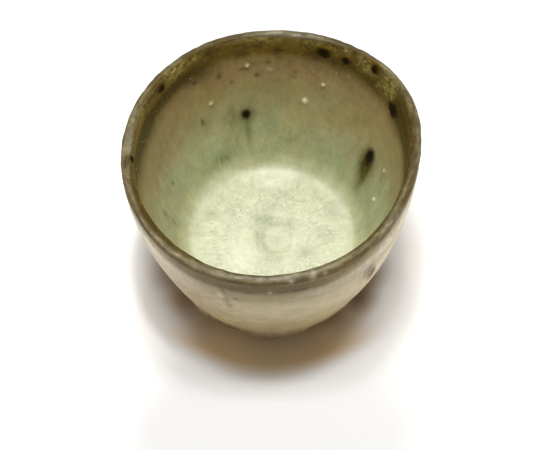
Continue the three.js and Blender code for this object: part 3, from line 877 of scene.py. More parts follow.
def finish_piece(name, material, surface):
    """A smooth closed mesh that rides on the cup and stands for the node of its name."""
    mesh = bpy.data.meshes.new(name)
    mesh.from_pydata(surface.points, [], surface.faces)
    for label, values in surface.attributes().items():
        layer = mesh.attributes.new(label, "FLOAT", "POINT")
        layer.data.foreach_set("value", values.astype(np.float32))
    work = bmesh.new()
    work.from_mesh(mesh)
    bmesh.ops.remove_doubles(work, verts=work.verts, dist=0.001 * MM)
    bmesh.ops.recalc_face_normals(work, faces=work.faces)
    work.to_mesh(mesh)
    work.free()
    mesh.shade_smooth()
    mesh.set_sharp_from_angle(angle=math.radians(50))
    mesh.materials.append(material)
    piece = bpy.data.objects.new(name + "_finish", mesh)
    bpy.context.scene.collection.objects.link(piece)
    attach(piece, BODY)
    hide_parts(name)
    return piece


def join_rings(count):
    """Quads round the axis between neighbouring sections of count points each."""
    faces = []
    for column in range(COLUMNS):
        near = column * count
        far = (column + 1) % COLUMNS * count
        for row in range(count):
            after = (row + 1) % count
            faces.append((near + row, far + row, far + after, near + after))
    return faces


def coat(section, start_at, end_at, rows):
    """A closed coat of glaze between two wandering edges: a fine front and a plain back."""
    surface = Surface(section)
    thickness = section.sizes.glaze_thickness
    for column in range(COLUMNS):
        angle = 2 * math.pi * column / COLUMNS
        start = start_at(angle)
        end = end_at(angle)
        for row in range(rows + 1):
            path = mix(start, end, row / rows)
            surface.add(section.skin(path, angle), path, angle, front=1)
        for row in range(BACK_ROWS + 1):
            path = mix(end, start, row / BACK_ROWS)
            surface.add(section.under(path, angle, thickness), path, angle, front=0)
    surface.faces = join_rings(rows + BACK_ROWS + 2)
    return surface


def mound(section, mark, middle_path, height, halo):
    """A low ragged mound on the glaze, round above its middle and drawn out to a tail below.

    halo is how far its thin skirt runs out past the mark's own width and reach. The attribute
    off_core is 0 in the middle of the mark's core and 1 at the edge of it.
    """
    _name, degrees, _share, width, head, tail, drift, core = mark
    middle = math.radians(degrees)
    radius = section.profile(middle_path)[0]
    upwards = 1 if middle_path < 0 else -1
    surface = Surface(section)

    def add(share, turn, swell):
        rising = math.sin(turn) > 0
        reach = (head + halo if rising else tail + halo) * MM
        taper = 1.0 if rising else TAIL_TAPER
        edge = Vector((math.cos(turn), math.sin(turn), degrees))
        ragged = 1 + MARK_RAGGED * noise.noise(edge * 0.9)
        up = share * ragged * reach * math.sin(turn)
        sway = 0.0 if rising else drift * up * up / (tail * MM)
        half = (width / 2 + halo) * MM * ragged * abs(math.cos(turn)) ** taper
        aside = share * half * math.copysign(1, math.cos(turn)) + sway
        path = middle_path + upwards * up
        angle = middle + aside / radius
        off_core = math.hypot(aside / (width / 2 * MM), up / ((head if rising else core * tail) * MM))
        surface.add(section.skin(path, angle, swell - MARK_SINK), path, angle, off_core=off_core)

    add(0, 0, height)
    for ring in range(1, MARK_RINGS + 1):
        share = ring / MARK_RINGS
        for point in range(MARK_POINTS):
            add(share, 2 * math.pi * point / MARK_POINTS, height * (1 - share * share) ** 1.5)
    add(0, 0, -MARK_BASE)
    base = len(surface.points) - 1
    last = 1 + (MARK_RINGS - 1) * MARK_POINTS
    for point in range(MARK_POINTS):
        after = (point + 1) % MARK_POINTS
        surface.faces.append((0, 1 + point, 1 + after))
        surface.faces.append((base, last + after, last + point))
        for ring in range(1, MARK_RINGS):
            inner = 1 + (ring - 1) * MARK_POINTS
            outer = 1 + ring * MARK_POINTS
            surface.faces.append((inner + point, outer + point, outer + after, inner + after))
    return surface


def feed(tree, socket, value):
    """Link a node's output to a socket, or set the socket to a plain value."""
    if isinstance(value, bpy.types.NodeSocket):
        tree.links.new(value, socket)
    else:
        socket.default_value = value


def add_node(tree, kind, values=None, **settings):
    """A node with its settings, its inputs set or linked by name or number."""
    made = tree.nodes.new(kind)
    for label, setting in settings.items():
        setattr(made, label, setting)
    for socket, value in (values or {}).items():
        feed(tree, made.inputs[socket], value)
    return made


def calculate(tree, operation, first, second=0.0, clamp=False):
    made = add_node(tree, "ShaderNodeMath", {0: first, 1: second}, operation=operation, use_clamp=clamp)
    return made.outputs[0]


def spread(tree, value, low, high, to_low=0.0, to_high=1.0, kind="LINEAR"):
    """A value moved from one range to another and held there."""
    ends = {"Value": value, "From Min": low, "From Max": high, "To Min": to_low, "To Max": to_high}
    return add_node(tree, "ShaderNodeMapRange", ends, interpolation_type=kind).outputs["Result"]


def ease(tree, value, low, high):
    """A smooth step from 0 to 1."""
    return spread(tree, value, low, high, kind="SMOOTHSTEP")


def blend(tree, share, first, second, kind="MIX"):
    """Two colours mixed."""
    values = {0: share, 6: first, 7: second}
    return add_node(tree, "ShaderNodeMix", values, data_type="RGBA", blend_type=kind).outputs[2]


def attribute(tree, name):
    return add_node(tree, "ShaderNodeAttribute", attribute_name=name).outputs["Fac"]


def own_places(tree):
    return add_node(tree, "ShaderNodeTexCoord").outputs["Object"]


def vector(tree, operation, first, second=(0, 0, 0)):
    """The Vector and the Value that an operation makes of two vectors."""
    return add_node(tree, "ShaderNodeVectorMath", {0: first, 1: second}, operation=operation).outputs


def places(tree, stretch=(1, 1, 1)):
    """Object coordinates, drawn out along an axis where its stretch is below 1."""
    return vector(tree, "MULTIPLY", own_places(tree), stretch)["Vector"]


def rolled(tree, facing, radius, along):
    """Places round a ring of some radius and along its axis."""
    values = {0: facing, "Scale": radius}
    ring = add_node(tree, "ShaderNodeVectorMath", values, operation="SCALE").outputs["Vector"]
    lifted = add_node(tree, "ShaderNodeCombineXYZ", {"Z": along}).outputs[0]
    return vector(tree, "ADD", ring, lifted)["Vector"]


def rolled_out(tree, around=1.0, along=1.0):
    """Places on the wall as if rolled out flat, drawn out round the cup or along the path below 1.

    On the floor they are level places, which meet those of the wall at its edge.
    """
    level = places(tree, (1, 1, 0))
    off_axis = calculate(tree, "MINIMUM", vector(tree, "LENGTH", level)["Value"], FLOOR_RADIUS)
    facing = vector(tree, "NORMALIZE", level)["Vector"]
    mouth_radius = bpy.context.scene.soba_choko_sizes.mouth_diameter / 2
    radius = times(tree, off_axis, around * mouth_radius / FLOOR_RADIUS)
    down = times(tree, calculate(tree, "MINIMUM", attribute(tree, "path"), FLOOR_PATH), along)
    return rolled(tree, facing, radius, down)


def cloud(tree, where, size, detail=3.0, roughness=0.55, twist=0.0):
    """Soft noise whose patches are about size across."""
    values = {"Vector": where, "Scale": 1 / size, "Detail": detail}
    values.update({"Roughness": roughness, "Distortion": twist})
    return add_node(tree, "ShaderNodeTexNoise", values).outputs["Fac"]


def new_group(name, inputs, outputs):
    """An empty shader node group: the group, its inner inputs and its inner outputs."""
    group = bpy.data.node_groups.new(name, "ShaderNodeTree")
    for label, default in inputs:
        socket = group.interface.new_socket(label, in_out="INPUT", socket_type="NodeSocketFloat")
        socket.default_value = default
    for label, kind in outputs:
        group.interface.new_socket(label, in_out="OUTPUT", socket_type=kind)
    start = group.nodes.new("NodeGroupInput")
    end = group.nodes.new("NodeGroupOutput")
    return group, start.outputs, end.inputs


def ramp_place(millimetres):
    """A place on a ramp whose lip is drawn out and whose walls are drawn together."""
    return math.copysign(math.sqrt(abs(millimetres)), millimetres)


def path_ramp(tree, path, stops):
    """A ramp along the path through stops of millimetres and colour."""
    first = ramp_place(TONES[0][0])
    last = ramp_place(TONES[-1][0])
    millimetres = calculate(tree, "DIVIDE", path, MM)
    root = calculate(tree, "SQRT", calculate(tree, "ABSOLUTE", millimetres))
    drawn = calculate(tree, "MULTIPLY", root, calculate(tree, "SIGN", millimetres))
    ramp = add_node(tree, "ShaderNodeValToRGB", {"Fac": spread(tree, drawn, first, last)})
    marks = ramp.color_ramp.elements
    marks.remove(marks[1])
    for index, (place, tint) in enumerate(stops):
        if index > 0:
            marks.new((ramp_place(place) - first) / (last - first))
        marks[index].color = tint
    return ramp.outputs["Color"]


def grey(value):
    return (value, value, value, 1)


def times(tree, *factors):
    """The product of some values."""
    product = factors[0]
    for factor in factors[1:]:
        product = calculate(tree, "MULTIPLY", product, factor)
    return product


def between(tree, path, start, full, fading, end):
    """1 between two places on the path in millimetres, falling to 0 at the outer ones."""
    return times(tree, ease(tree, path, start * MM, full * MM), ease(tree, path, end * MM, fading * MM))


def mottled(tree, tone, value, low, high, mask, most, tint):
    """Patches of a tint where a cloud passes from low to high inside a mask."""
    return blend(tree, times(tree, ease(tree, value, low, high), mask, most), tone, tint)


def shaded(tree, tone, value, darkest, palest):
    """A tone made darker and paler by a cloud."""
    return blend(tree, 1.0, tone, spread(tree, value, 0.3, 0.7, darkest, palest), "MULTIPLY")


def glaze_tones():
    """The node group of the glaze's colour and roughness along the path, with its stains."""
    found = bpy.data.node_groups.get("glaze tones")
    if found:
        return found
    colours = bpy.context.scene.soba_choko_colours
    tree, _inputs, outputs = new_group("glaze tones", (), (
        ("Tone", "NodeSocketColor"), ("Roughness", "NodeSocketFloat")))
    path = attribute(tree, "path")
    reach = path_ramp(tree, path, [(stop[0], grey(stop[2] / 10)) for stop in TONES])
    soft = cloud(tree, rolled_out(tree), 11 * MM, 4)
    drips = cloud(tree, rolled_out(tree, 1, 0.22), 3.2 * MM, 2)
    drips = blend(tree, ease(tree, path, 38 * MM, 46 * MM), drips, grey(0.5))
    strokes = cloud(tree, rolled_out(tree, 0.25, 1), 2.0 * MM, 3)
    on_lip = between(tree, path, -9, -4, 1.5, 4)
    on_wall = calculate(tree, "ADD", soft, drips)
    sway = blend(tree, on_lip, on_wall, calculate(tree, "MULTIPLY", strokes, 2.0))
    shift = times(tree, calculate(tree, "SUBTRACT", sway, 1.0), reach, 22 * MM)
    wandered = calculate(tree, "ADD", path, shift)
    past_line = calculate(tree, "SUBTRACT", path, POOL_LINE)
    wandered = calculate(tree, "ADD", wandered, times(tree, past_line, attribute(tree, "crisp"), 1.4))
    tone = path_ramp(tree, wandered, [(stop[0], getattr(colours, stop[1])) for stop in TONES])

    rim = between(tree, path, 1.2, 3.5, 8, 13)
    clots = cloud(tree, rolled_out(tree, 1, 0.8), 6 * MM, 4, 0.6)
    tone = mottled(tree, tone, clots, 0.49, 0.62, rim, 0.6, colours.dark_olive)
    lumps = cloud(tree, places(tree), 1.7 * MM, 2)
    upper_rim = between(tree, path, 0.6, 2, 5, 10)
    tone = mottled(tree, tone, lumps, 0.56, 0.68, upper_rim, 0.5, colours.rim_lump)
    crest = between(tree, path, -1.8, -0.8, 0.2, 1.3)
    flecks = cloud(tree, rolled_out(tree, 0.35, 1), 1.5 * MM, 3, 0.6)
    tone = mottled(tree, tone, flecks, 0.50, 0.60, crest, 0.6, colours.crest_fleck)
    tone = mottled(tree, tone, flecks, 0.49, 0.38, crest, 0.8, colours.lip_edge)
    lip = between(tree, path, -7, -3, 3, 6)
    # Painted glints along the lip, with dark olive flecks between them
    glints_and_dark_flecks = cloud(tree, rolled_out(tree, 0.6, 1), 1.1 * MM, 2)
    tone = mottled(tree, tone, glints_and_dark_flecks, 0.62, 0.72, lip, 0.3, colours.painted_crest_glint)
    tone = mottled(tree, tone, glints_and_dark_flecks, 0.40, 0.30, lip, 0.6, colours.dark_olive)

    fray = spread(tree, cloud(tree, rolled_out(tree, 1, 0.7), 1.8 * MM, 3), 0.3, 0.7, 0.4, 1.6)
    softly = spread(tree, cloud(tree, rolled_out(tree, 1, 0.7), 1.2 * MM, 2), 0.3, 0.7, 0.8, 1.2)
    grainy = spread(tree, cloud(tree, places(tree), 1.1 * MM, 3), 0.42, 0.60, 0.15, 1.5)
    stain_colours = (
        ("warm", colours.warm_flush, 0.9, fray),
        ("mauve", colours.band_mauve, 1.0, softly),
        ("band", colours.band_dark, 1.0, fray),
        ("pearl", colours.wall_pearl_and_side_light, 0.9, fray),
        ("pool", colours.well_pale, 1.0, fray),
        ("green", colours.moss_green, 0.9, fray),
        ("tail", colours.deep_moss, 1.0, softly),
        ("iron", colours.dark_olive, 1.0, softly),
        ("lump", colours.rim_lump, 1.0, grainy),
        ("pale", colours.pale_glaze_and_glint, 0.8, fray),
        ("ash", colours.well_ash, 1.0, softly),
        ("cream", colours.well_cream_and_glare, 1.0, softly),
    )
    for label, tint, most, edge in stain_colours:
        frayed = calculate(tree, "MULTIPLY", attribute(tree, label), edge, clamp=True)
        tone = blend(tree, times(tree, frayed, most), tone, tint)

    drift = cloud(tree, rolled_out(tree), 12 * MM, 3)
    rosy = blend(tree, ease(tree, drift, 0.35, 0.65), (1.04, 0.99, 0.95, 1), (0.97, 1.01, 1.03, 1))
    wall = between(tree, path, 8, 13, 46, 51)
    tone = blend(tree, wall, tone, blend(tree, 1.0, tone, rosy, "MULTIPLY"))
    patches = cloud(tree, rolled_out(tree), 5.5 * MM, 5, 0.6)
    tone = shaded(tree, tone, patches, 0.88, 1.12)
    blots = cloud(tree, rolled_out(tree, 1, 0.8), 2.4 * MM, 4, 0.6)
    tone = shaded(tree, tone, blots, 0.94, 1.06)
    streaks = cloud(tree, rolled_out(tree, 1, 0.12), 1.7 * MM, 3)
    upper = between(tree, path, 2, 6, 8, 24)
    tone = blend(tree, upper, tone, shaded(tree, tone, streaks, 0.90, 1.10))
    hairs = cloud(tree, rolled_out(tree, 0.14, 1), 0.75 * MM, 3, 0.6)
    edges = between(tree, path, -4.0, -2.6, 1.0, 2.4)
    tone = blend(tree, edges, tone, shaded(tree, tone, hairs, 0.67, 1.34))
    grain = cloud(tree, rolled_out(tree, 1, 0.7), 0.7 * MM, 2)
    tone = shaded(tree, tone, grain, 0.95, 1.05)
    feed(tree, outputs["Tone"], tone)
    gloss = path_ramp(tree, wandered, [(stop[0], grey(stop[3])) for stop in TONES])
    rub = spread(tree, patches, 0.3, 0.7, -0.06, 0.06)
    feed(tree, outputs["Roughness"], calculate(tree, "ADD", gloss, rub, clamp=True))
    return tree


def orange_peel():
    """The node group of the small unevenness of a melted glaze, as a height."""
    found = bpy.data.node_groups.get("orange peel")
    if found:
        return found
    tree, inputs, outputs = new_group(
        "orange peel", (("Peel Size", 1.6 * MM), ("Grain", 0.3)), (("Height", "NodeSocketFloat"),))
    where = places(tree)
    broad = add_node(tree, "ShaderNodeTexNoise", {"Vector": where, "Detail": 2.0})
    feed(tree, broad.inputs["Scale"], calculate(tree, "DIVIDE", 1.0, inputs["Peel Size"]))
    fine = cloud(tree, where, 0.35 * MM, 2)
    grain = calculate(tree, "MULTIPLY", fine, inputs["Grain"])
    feed(tree, outputs["Height"], calculate(tree, "ADD", broad.outputs["Fac"], grain))
    return tree


def place_group(tree, group, values=None):
    """A group's outputs, with its inputs set by name."""
    made = add_node(tree, "ShaderNodeGroup", node_tree=group)
    for label, value in (values or {}).items():
        feed(tree, made.inputs[label], value)
    return made.outputs


def add_bump(tree, shader, height, depth):
    """Relief of about this depth from a height between 0 and 1."""
    made = add_node(tree, "ShaderNodeBump", {"Height": height, "Strength": 1.0, "Distance": depth})
    feed(tree, shader.inputs["Normal"], made.outputs["Normal"])


def new_material(name):
    """A material, its tree and its Principled BSDF."""
    material = bpy.data.materials.new(name)
    material.use_nodes = True
    return material, material.node_tree, material.node_tree.nodes["Principled BSDF"]


def glaze_material(name, shine, peel_size, peel_depth, grain, veil=None):
    """A glaze that takes its tone from its place on the cup, under a veil of its own."""
    material, tree, shader = new_material(name)
    tones = place_group(tree, glaze_tones())
    tone = veil(tree, tones["Tone"]) if veil else tones["Tone"]
    feed(tree, shader.inputs["Base Color"], tone)
    feed(tree, shader.inputs["Roughness"], tones["Roughness"])
    shader.inputs["Specular IOR Level"].default_value = shine
    peel = place_group(tree, orange_peel(), {"Peel Size": peel_size, "Grain": grain})
    add_bump(tree, shader, peel["Height"], peel_depth)
    return material


def spokes(tree, radius, along):
    """Places on the floor drawn out along its spokes from the thrower's mark."""
    moved = vector(tree, "SUBTRACT", own_places(tree), RING_CENTRE)["Vector"]
    off_ring = vector(tree, "LENGTH", moved)["Value"]
    facing = vector(tree, "NORMALIZE", moved)["Vector"]
    return rolled(tree, facing, radius, times(tree, off_ring, along))


def pool_veil(tree, tone):
    """The fibres, the grey freckles and the hair crackle of the pooled glaze, inside its soft edge."""
    fibres = cloud(tree, places(tree), 1.6 * MM, 5, 0.65, 2.0)
    veiled = shaded(tree, tone, fibres, 0.95, 1.04)
    needles = cloud(tree, spokes(tree, 16 * MM, 0.45), 0.8 * MM, 4, 0.7)
    veiled = shaded(tree, veiled, needles, 0.90, 1.07)
    dashes = cloud(tree, spokes(tree, 16 * MM, 0.40), 0.7 * MM, 2)
    brim = between(tree, attribute(tree, "path"), 50, 53, 61, 69)
    colours = bpy.context.scene.soba_choko_colours
    veiled = mottled(tree, veiled, dashes, 0.58, 0.66, brim, 0.7, colours.well_cream_and_glare)
    veiled = mottled(tree, veiled, dashes, 0.41, 0.33, brim, 0.6, colours.well_edge)
    freckles = ease(tree, cloud(tree, places(tree), 0.7 * MM, 3), 0.58, 0.68)
    clumps = ease(tree, cloud(tree, places(tree), 7 * MM, 2), 0.42, 0.62)
    veiled = blend(tree, times(tree, freckles, clumps, 0.8), veiled, colours.well_ash)
    cells = {"Vector": places(tree), "Scale": 1 / (2.6 * MM)}
    edge = add_node(tree, "ShaderNodeTexVoronoi", cells, feature="DISTANCE_TO_EDGE").outputs["Distance"]
    veiled = blend(tree, 1.0, veiled, spread(tree, edge, 0.0, 0.06, 0.95, 1.0), "MULTIPLY")
    # The veil is cleared under the cream stains, so that the painted sheen stays smooth
    plain = spread(tree, attribute(tree, "cream"), 0.1, 0.7, 1.0, 0.1)
    inside = ease(tree, attribute(tree, "path"), 50 * MM, 56 * MM)
    return blend(tree, times(tree, inside, plain), tone, veiled)


def mark_material(name, core, roughness, shine, inner, outer, most):
    """A mark whose core melts into the glaze round it between two distances from its middle."""
    material, tree, shader = new_material(name)
    tones = place_group(tree, glaze_tones())
    ragged = spread(tree, cloud(tree, places(tree), 0.8 * MM, 2), 0.3, 0.7, -0.12, 0.12)
    off_core = calculate(tree, "ADD", attribute(tree, "off_core"), ragged)
    share = times(tree, ease(tree, off_core, outer, inner), most)
    feed(tree, shader.inputs["Base Color"], blend(tree, share, tones["Tone"], core))
    shader.inputs["Roughness"].default_value = roughness
    shader.inputs["Specular IOR Level"].default_value = shine
    peel = place_group(tree, orange_peel())
    add_bump(tree, shader, peel["Height"], 0.02 * MM)
    return material


def cup():
    """The sizes, the colours and the section that every piece is made from."""
    scene = bpy.context.scene
    return scene.soba_choko_sizes, scene.soba_choko_colours, CupSection(scene.soba_choko_sizes)


def foot_profile(sizes):
    """Radius and height round the turned foot, from the middle of the recess out to the undercut."""
    ring = sizes.foot_diameter / 2
    recess = ring - sizes.foot_ring_width
    depth = sizes.recess_depth
    corner = 1.4 * MM
    bevel = 0.5 * MM
    groove_depth = 0.07 * MM
    groove_spacing = 2.6 * MM
    flat = recess - sizes.foot_taper - corner
    points = []
    for step in range(RECESS_STEPS + 1):
        radius = flat * step / RECESS_STEPS
        groove = groove_depth * math.sin(2 * math.pi * radius / groove_spacing)
        points.append((radius, depth + groove * smooth(0, 3 * MM, flat - radius)))
    for step in range(1, CORNER_STEPS + 1):
        turn = math.pi / 2 * step / CORNER_STEPS
        points.append((flat + corner * math.sin(turn), depth - corner * (1 - math.cos(turn))))
    points += [
        (recess - 0.2 * bevel, bevel),
        (recess + 0.3 * bevel, 0.3 * bevel),
        (recess + bevel, 0.0),
        (ring - bevel, 0.0),
        (ring - 0.3 * bevel, 0.3 * bevel),
        (ring - 0.2 * bevel, bevel),
        (ring - sizes.foot_taper, sizes.foot_height - 0.6 * MM),
        (ring - sizes.foot_taper + 0.2 * MM, sizes.foot_height - 0.1 * MM),
        (ring + 0.5 * MM, sizes.foot_height + 0.1 * MM),
    ]
    return points


def add_clay_body():
    sizes, colours, section = cup()
    start = section.path_outside(section.waist_height)
    end = section.path_inside(section.inside_length)
    foot = foot_profile(sizes)
    surface = Surface(section)
    for column in range(COLUMNS):
        angle = 2 * math.pi * column / COLUMNS
        for radius, height in foot:
            surface.add(section.thrown(radius, height, angle), start, angle)
        for row in range(CLAY_ROWS + 1):
            path = mix(start, end, row / CLAY_ROWS)
            surface.add(section.under(path, angle, section.clay_depth), path, angle)
    surface.faces = join_rings(len(foot) + CLAY_ROWS + 1)
    material, tree, shader = new_material("stoneware clay")
    toast = cloud(tree, places(tree), 9 * MM, 3)
    tone = blend(tree, ease(tree, toast, 0.4, 0.62), colours.bare_clay, colours.toasted_clay)
    grit = cloud(tree, places(tree), 0.8 * MM, 4)
    tone = shaded(tree, tone, grit, 0.85, 1.12)
    grog = ease(tree, cloud(tree, places(tree), 1.1 * MM, 2), 0.64, 0.70)
    tone = blend(tree, times(tree, grog, 0.7), tone, colours.wall_beige)
    feed(tree, shader.inputs["Base Color"], tone)
    shader.inputs["Roughness"].default_value = 0.9
    combed = cloud(tree, places(tree, (0.06, 0.06, 1)), 0.5 * MM, 2)
    add_bump(tree, shader, calculate(tree, "ADD", grit, combed), 0.10 * MM)
    finish_piece("clay_body", material, surface)


def add_outside_glaze():
    _sizes, _colours, section = cup()
    material = glaze_material("cream glaze", shine=0.24, peel_size=1.8 * MM,
                              peel_depth=0.03 * MM, grain=0.4)
    surface = coat(section, section.outside_edge, section.rim_edge_outside, OUTSIDE_ROWS)
    finish_piece("outside_glaze", material, surface)


def add_rim_glaze():
    _sizes, _colours, section = cup()
    material = glaze_material("iron glaze", shine=0.09, peel_size=0.9 * MM,
                              peel_depth=0.07 * MM, grain=0.5)
    surface = coat(section, section.rim_edge_outside, section.rim_edge_inside, RIM_ROWS)
    finish_piece("rim_glaze", material, surface)


def add_inside_glaze():
    _sizes, _colours, section = cup()
    material = glaze_material("celadon glaze", shine=0.16, peel_size=1.6 * MM,
                              peel_depth=0.03 * MM, grain=0.3)
    surface = coat(section, section.rim_edge_inside, section.pool_edge, INSIDE_ROWS)
    finish_piece("inside_glaze", material, surface)


def add_well_glaze():
    _sizes, _colours, section = cup()
    material = glaze_material("pale glaze", shine=0.45, peel_size=1.0 * MM,
                              peel_depth=0.03 * MM, grain=0.6, veil=pool_veil)
    surface = coat(section, section.pool_edge, section.floor_middle, FLOOR_ROWS)
    finish_piece("well_glaze", material, surface)


def sized(mark, sizes):
    """A spot or bead spelled out as a mark with a width, a head, a tail, a drift and a core."""
    name, degrees, share, size, drift = mark
    width, head, tail = (each * size for each in sizes)
    return name, degrees, share, width, head, tail, drift, 2.0


def add_iron_marks():
    _sizes, colours, section = cup()
    material = mark_material("melted iron", colours.melted_iron, roughness=0.45, shine=0.03,
                             inner=0.4, outer=1.4, most=1.0)
    for mark in IRON_RUNS + tuple(sized(spot, SPOT_SIZE) for spot in RIM_IRON_SPOTS):
        place = section.path_inside(mark[2] * section.wall_length)
        finish_piece(mark[0], material, mound(section, mark, place, *IRON_MOUND))


def add_glaze_beads():
    _sizes, colours, section = cup()
    # The bead cores are painted near white: pale glaze and a painted highlight, over the gloss's own
    # highlight
    bright = mark_material("bead glaze", colours.pale_glaze_and_glint, roughness=0.15, shine=0.6,
                           inner=0.5, outer=1.2, most=1.0)
    dull = mark_material("dull bead glaze", colours.pale_glaze_and_glint, roughness=0.25, shine=0.3,
                         inner=0.5, outer=1.2, most=0.55)
    for bead in GLAZE_BEADS:
        mark = sized(bead, BEAD_SIZE)
        place = section.path_inside(mark[2] * section.wall_length)
        material = dull if mark[0] in DULL_BEADS else bright
        finish_piece(mark[0], material, mound(section, mark, place, *BEAD_MOUND))


def add_outside_marks():
    _sizes, colours, section = cup()
    run = mark_material("glaze run", colours.wall_cream, roughness=0.38, shine=0.25,
                        inner=0.4, outer=1.2, most=0.4)
    smear = mark_material("smear glaze", colours.smear_grey, roughness=0.50, shine=0.12,
                          inner=0.1, outer=1.15, most=0.9)
    dressed = (
        (OUTSIDE_RUN, "cream_glaze", run),
        (OUTSIDE_SMEAR, "smear_glaze", smear),
    )
    for mark, slot, material in dressed:
        place = section.path_outside(section.waist_height + mark[2] * section.wall_rise)
        finish_piece(mark[0], material, mound(section, mark, place, *OUTSIDE_MOUND))


def scatter_nodes():
    """The node group that scatters small flat mounds over the front of a coat."""
    found = bpy.data.node_groups.get("kiln specks")
    if found:
        return found
    tree = bpy.data.node_groups.new("kiln specks", "GeometryNodeTree")
    tree.interface.new_socket("Mounds", in_out="OUTPUT", socket_type="NodeSocketGeometry")
    asked = (
        ("Coat", "Object"),
        ("Material", "Material"),
        ("Per Square Metre", "Float"),
        ("From", "Float"),
        ("To", "Float"),
        ("Smallest", "Float"),
        ("Largest", "Float"),
        ("Seed", "Int"),
    )
    for label, kind in asked:
        tree.interface.new_socket(label, in_out="INPUT", socket_type="NodeSocket" + kind)
    given = tree.nodes.new("NodeGroupInput").outputs
    coat_shape = add_node(tree, "GeometryNodeObjectInfo", {"Object": given["Coat"]}).outputs["Geometry"]
    front = add_node(tree, "GeometryNodeInputNamedAttribute", {"Name": "front"}).outputs[0]
    path = add_node(tree, "GeometryNodeInputNamedAttribute", {"Name": "path"}).outputs[0]
    after = calculate(tree, "GREATER_THAN", path, given["From"])
    before = calculate(tree, "LESS_THAN", path, given["To"])
    density = times(tree, given["Per Square Metre"], front, after, before)
    spread_out = {"Mesh": coat_shape, "Density": density, "Seed": given["Seed"]}
    spots = add_node(tree, "GeometryNodeDistributePointsOnFaces", spread_out).outputs
    sizes = {2: given["Smallest"], 3: given["Largest"], "Seed": given["Seed"]}
    size = add_node(tree, "FunctionNodeRandomValue", sizes, data_type="FLOAT").outputs[1]
    flat = calculate(tree, "MULTIPLY", size, 0.5)
    scale = add_node(tree, "ShaderNodeCombineXYZ", {0: size, 1: size, 2: flat}).outputs[0]
    ball = add_node(tree, "GeometryNodeMeshIcoSphere", {"Radius": 1.0, "Subdivisions": 2}).outputs["Mesh"]
    set_out = {"Points": spots["Points"], "Instance": ball, "Rotation": spots["Rotation"], "Scale": scale}
    mounds = add_node(tree, "GeometryNodeInstanceOnPoints", set_out)
    solid = add_node(tree, "GeometryNodeRealizeInstances", {"Geometry": mounds.outputs[0]})
    smoothed = add_node(tree, "GeometryNodeSetShadeSmooth", {"Geometry": solid.outputs[0]})
    finish = {"Geometry": smoothed.outputs[0], "Material": given["Material"]}
    dressed = add_node(tree, "GeometryNodeSetMaterial", finish)
    add_node(tree, "NodeGroupOutput", {"Mounds": dressed.outputs[0]})
    return tree


def scatter(name, values):
    """One scatter of specks as a plain mesh that rides on the cup."""
    specks = bpy.data.objects.new(name, bpy.data.meshes.new(name))
    bpy.context.scene.collection.objects.link(specks)
    modifier = specks.modifiers.new("scatter", "NODES")
    modifier.node_group = scatter_nodes()
    for socket in modifier.node_group.interface.items_tree:
        if socket.name in values:
            modifier[socket.identifier] = values[socket.name]
    depsgraph = bpy.context.evaluated_depsgraph_get()
    mesh = bpy.data.meshes.new_from_object(specks.evaluated_get(depsgraph))
    specks.modifiers.remove(modifier)
    if not mesh.polygons:
        raise RuntimeError(name + " has no specks")
    specks.data = mesh
    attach(specks, BODY)


def speck_material(name, first, second, roughness):
    """Specks of two clouded colours."""
    material, tree, shader = new_material(name)
    clouded = cloud(tree, places(tree), 2 * MM)
    feed(tree, shader.inputs["Base Color"], blend(tree, clouded, first, second))
    shader.inputs["Roughness"].default_value = roughness
    return material


def add_kiln_specks():
    _sizes, colours, section = cup()
    end = section.path_inside(section.inside_length)
    iron = speck_material("iron specks", colours.dark_olive, colours.wall_brown, 0.5)
    pale = speck_material("pale pimples", colours.wall_khaki, colours.wall_cream, 0.2)
    # Name, coat, slot, material, how many to a square metre, where they start and stop along the
    # path, the smallest and the largest in millimetres, and the seed
    kinds = (
        ("wall_specks", "inside_glaze", "melted_iron", iron, 9000, 9 * MM, 34 * MM, 0.10, 0.26, 3),
        ("floor_specks", "well_glaze", "melted_iron", iron, 16000, 51 * MM, end, 0.06, 0.16, 5),
        ("wall_pimples", "inside_glaze", "bead_glaze", pale, 16000, 9 * MM, 46 * MM, 0.10, 0.24, 7),
        ("outside_specks", "outside_glaze", "smear_glaze", iron, 5000, -52 * MM, -8 * MM, 0.08, 0.22, 11),
    )
    for name, coat_name, slot, material, per, start, stop, smallest, largest, seed in kinds:
        scatter(name, {
            "Coat": bpy.data.objects[coat_name + "_finish"],
            "Material": material,
            "Per Square Metre": per,
            "From": start,
            "To": stop,
            "Smallest": smallest * MM,
            "Largest": largest * MM,
            "Seed": seed,
        })


def add_area_light(name, place, aim, size, power):
    lamp = bpy.data.lights.new(name, "AREA")
    lamp.shape = "RECTANGLE"
    lamp.size, lamp.size_y = size
    lamp.energy = power
    light = bpy.data.objects.new(name, lamp)
    light.location = place
    light.rotation_euler = (Vector(aim) - Vector(place)).to_track_quat("-Z", "Y").to_euler()
    bpy.context.scene.collection.objects.link(light)


def add_camera(studio):
    scene = bpy.context.scene
    camera = bpy.data.objects.new("camera", bpy.data.cameras.new("camera"))
    camera.data.lens = studio.camera_lens
    camera.data.sensor_width = 36
    camera.data.sensor_fit = "HORIZONTAL"
    camera.location = (studio.camera_side, -studio.camera_back, studio.camera_height)
    camera.rotation_euler = (math.pi / 2 - studio.camera_elevation, 0, 0)
    scene.collection.objects.link(camera)
    scene.camera = camera


def seen_directly(tree):
    """1 for what the camera sees, also in a reflection or through glass, and 0 for light."""
    rays = add_node(tree, "ShaderNodeLightPath").outputs
    seen = calculate(tree, "MAXIMUM", rays["Is Camera Ray"], rays["Is Glossy Ray"])
    return calculate(tree, "MAXIMUM", seen, rays["Is Transmission Ray"])


